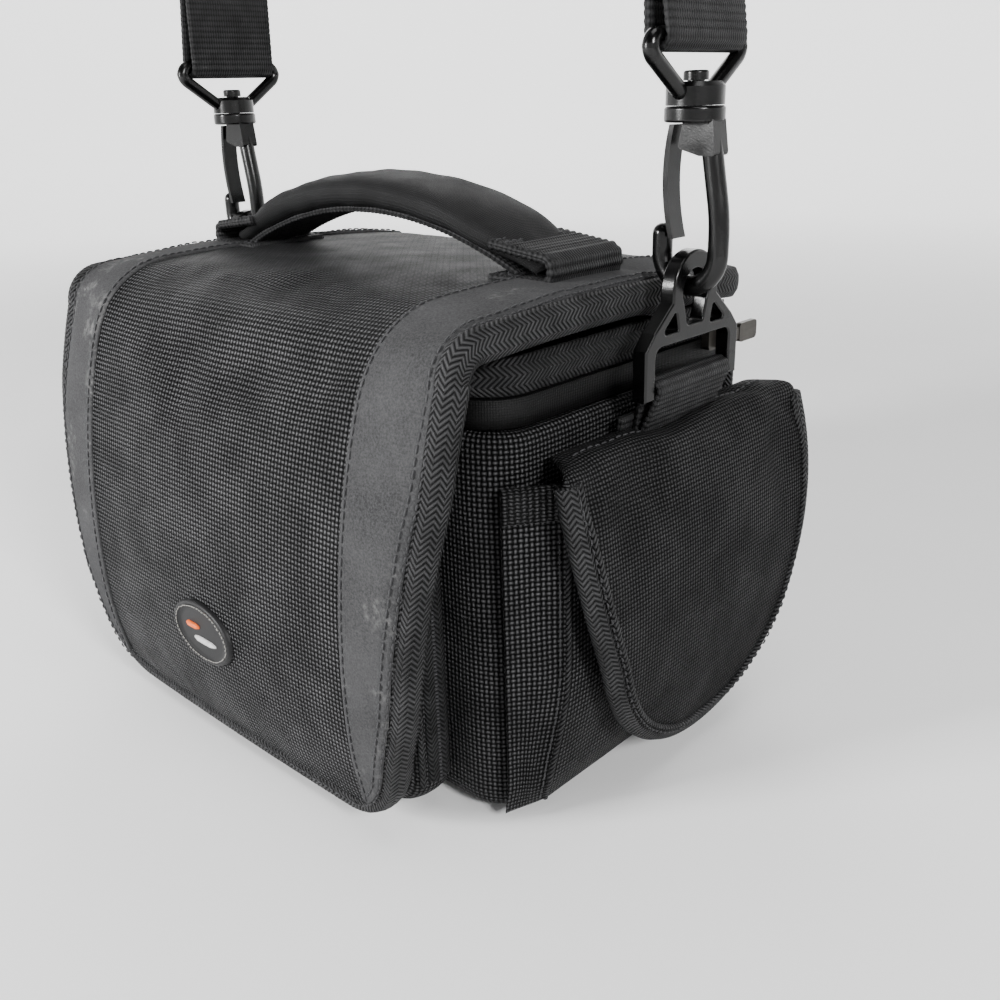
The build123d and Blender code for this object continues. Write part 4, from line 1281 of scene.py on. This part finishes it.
def backdrop():
    """A pale floor that curves up all round into a softly glowing wall, brightest behind the object."""
    paint = Paint("floor")
    split = paint.node("ShaderNodeSeparateXYZ")
    paint.tree.links.new(paint.place, split.inputs[0])
    x, y = split.outputs[0], split.outputs[1]
    away = paint.math("SQRT", paint.math("ADD", paint.math("MULTIPLY", x, x), paint.math("MULTIPLY", y, y)))
    behind = paint.math("ADD", paint.math("MULTIPLY", x, AWAY[0]), paint.math("MULTIPLY", y, AWAY[1]))
    glow = paint.math("MULTIPLY", paint.remap(away, 0.5, 1.9), paint.remap(behind, -0.4, 0.9, 0.06, 1.0))
    paint.feed(paint.shader.inputs["Emission Color"], (1, 1, 1, 1))
    paint.feed(paint.shader.inputs["Emission Strength"], paint.math("MULTIPLY", glow, 1.1))
    paint.finish(paint.mix(paint.noise(9, 2), (0.82, 0.82, 0.82), (0.86, 0.86, 0.86)), 0.9, None)
    profile = [(0.001, 0), (0.4, 0), (1.0, 0), (1.6, 0)]
    profile += [(1.6 + 0.5 * math.sin(a), 0.5 - 0.5 * math.cos(a)) for a in np.linspace(0.1, math.pi / 2, 14)]
    profile += [(2.1, 0.9)]
    turn = np.linspace(0, 2 * math.pi, 97)
    radius, height = np.array(profile).T
    points = np.stack([radius[:, None] * np.cos(turn), radius[:, None] * np.sin(turn),
                       height[:, None] - FLOOR_GAP + 0 * turn], -1)
    ids = np.arange(len(profile) * 97).reshape(-1, 97)
    ids[:, -1] = ids[:, 0]
    faces, uv = grid_faces(ids, points[..., 0], points[..., 1])
    obj = new_object("backdrop", points / MM, faces, uv, paint.material)
    obj.data.flip_normals()


backdrop()


def studio():
    """A pale room: bright behind the object, much dimmer on the side it is seen from."""
    world = bpy.data.worlds.new("studio")
    scene.world = world
    world.use_nodes = True
    tree = world.node_tree
    background = tree.nodes["Background"]
    background.inputs[0].default_value = (1, 1, 1, 1)
    direction = tree.nodes.new("ShaderNodeVectorMath")
    direction.operation = "DOT_PRODUCT"
    direction.inputs[1].default_value = AWAY
    tree.links.new(tree.nodes.new("ShaderNodeTexCoord").outputs["Generated"], direction.inputs[0])
    span = tree.nodes.new("ShaderNodeMapRange")
    span.interpolation_type = "SMOOTHSTEP"
    for socket, value in zip(span.inputs[1:5], (-0.1, 0.55, 0.06, 0.9)):
        socket.default_value = value
    tree.links.new(direction.outputs["Value"], span.inputs[0])
    tree.links.new(span.outputs[0], background.inputs[1])


studio()
middle = (0.0, -0.02, FOOT + 0.09)
for name, position, size, power in (
    ("key", (-0.42, -1.05, FOOT + 0.42), 0.22, 26),
    ("side", (1.15, -0.40, FOOT + 0.75), 0.25, 19),
    ("top", (0.35, -0.10, FOOT + 1.5), 0.7, 6),
    ("back", (-1.2, 1.2, FOOT + 1.2), 1.2, 12),
):
    lamp = bpy.data.lights.new(name, "AREA")
    lamp.shape, lamp.size, lamp.energy = "SQUARE", size, power
    aim(bpy.data.objects.new(name, lamp), position, middle)

yaw, pitch, roll = (math.radians(a) for a in (43.742, -21.410, -1.7275))
forward = Vector((-math.sin(yaw) * math.cos(pitch), math.cos(yaw) * math.cos(pitch), math.sin(pitch)))
flat_right = Vector((math.cos(yaw), math.sin(yaw), 0))
flat_up = flat_right.cross(forward)
right = flat_right * math.cos(roll) + flat_up * math.sin(roll)
up = flat_up * math.cos(roll) - flat_right * math.sin(roll)
camera = bpy.data.objects.new("camera", bpy.data.cameras.new("camera"))
camera.data.lens, camera.data.sensor_width = 37.33, 36.0
camera.matrix_world = Matrix([(right.x, up.x, -forward.x, 0.28363), (right.y, up.y, -forward.y, -0.26115),
                              (right.z, up.z, -forward.z, -0.18116), (0, 0, 0, 1)])
scene.collection.objects.link(camera)
scene.camera = camera
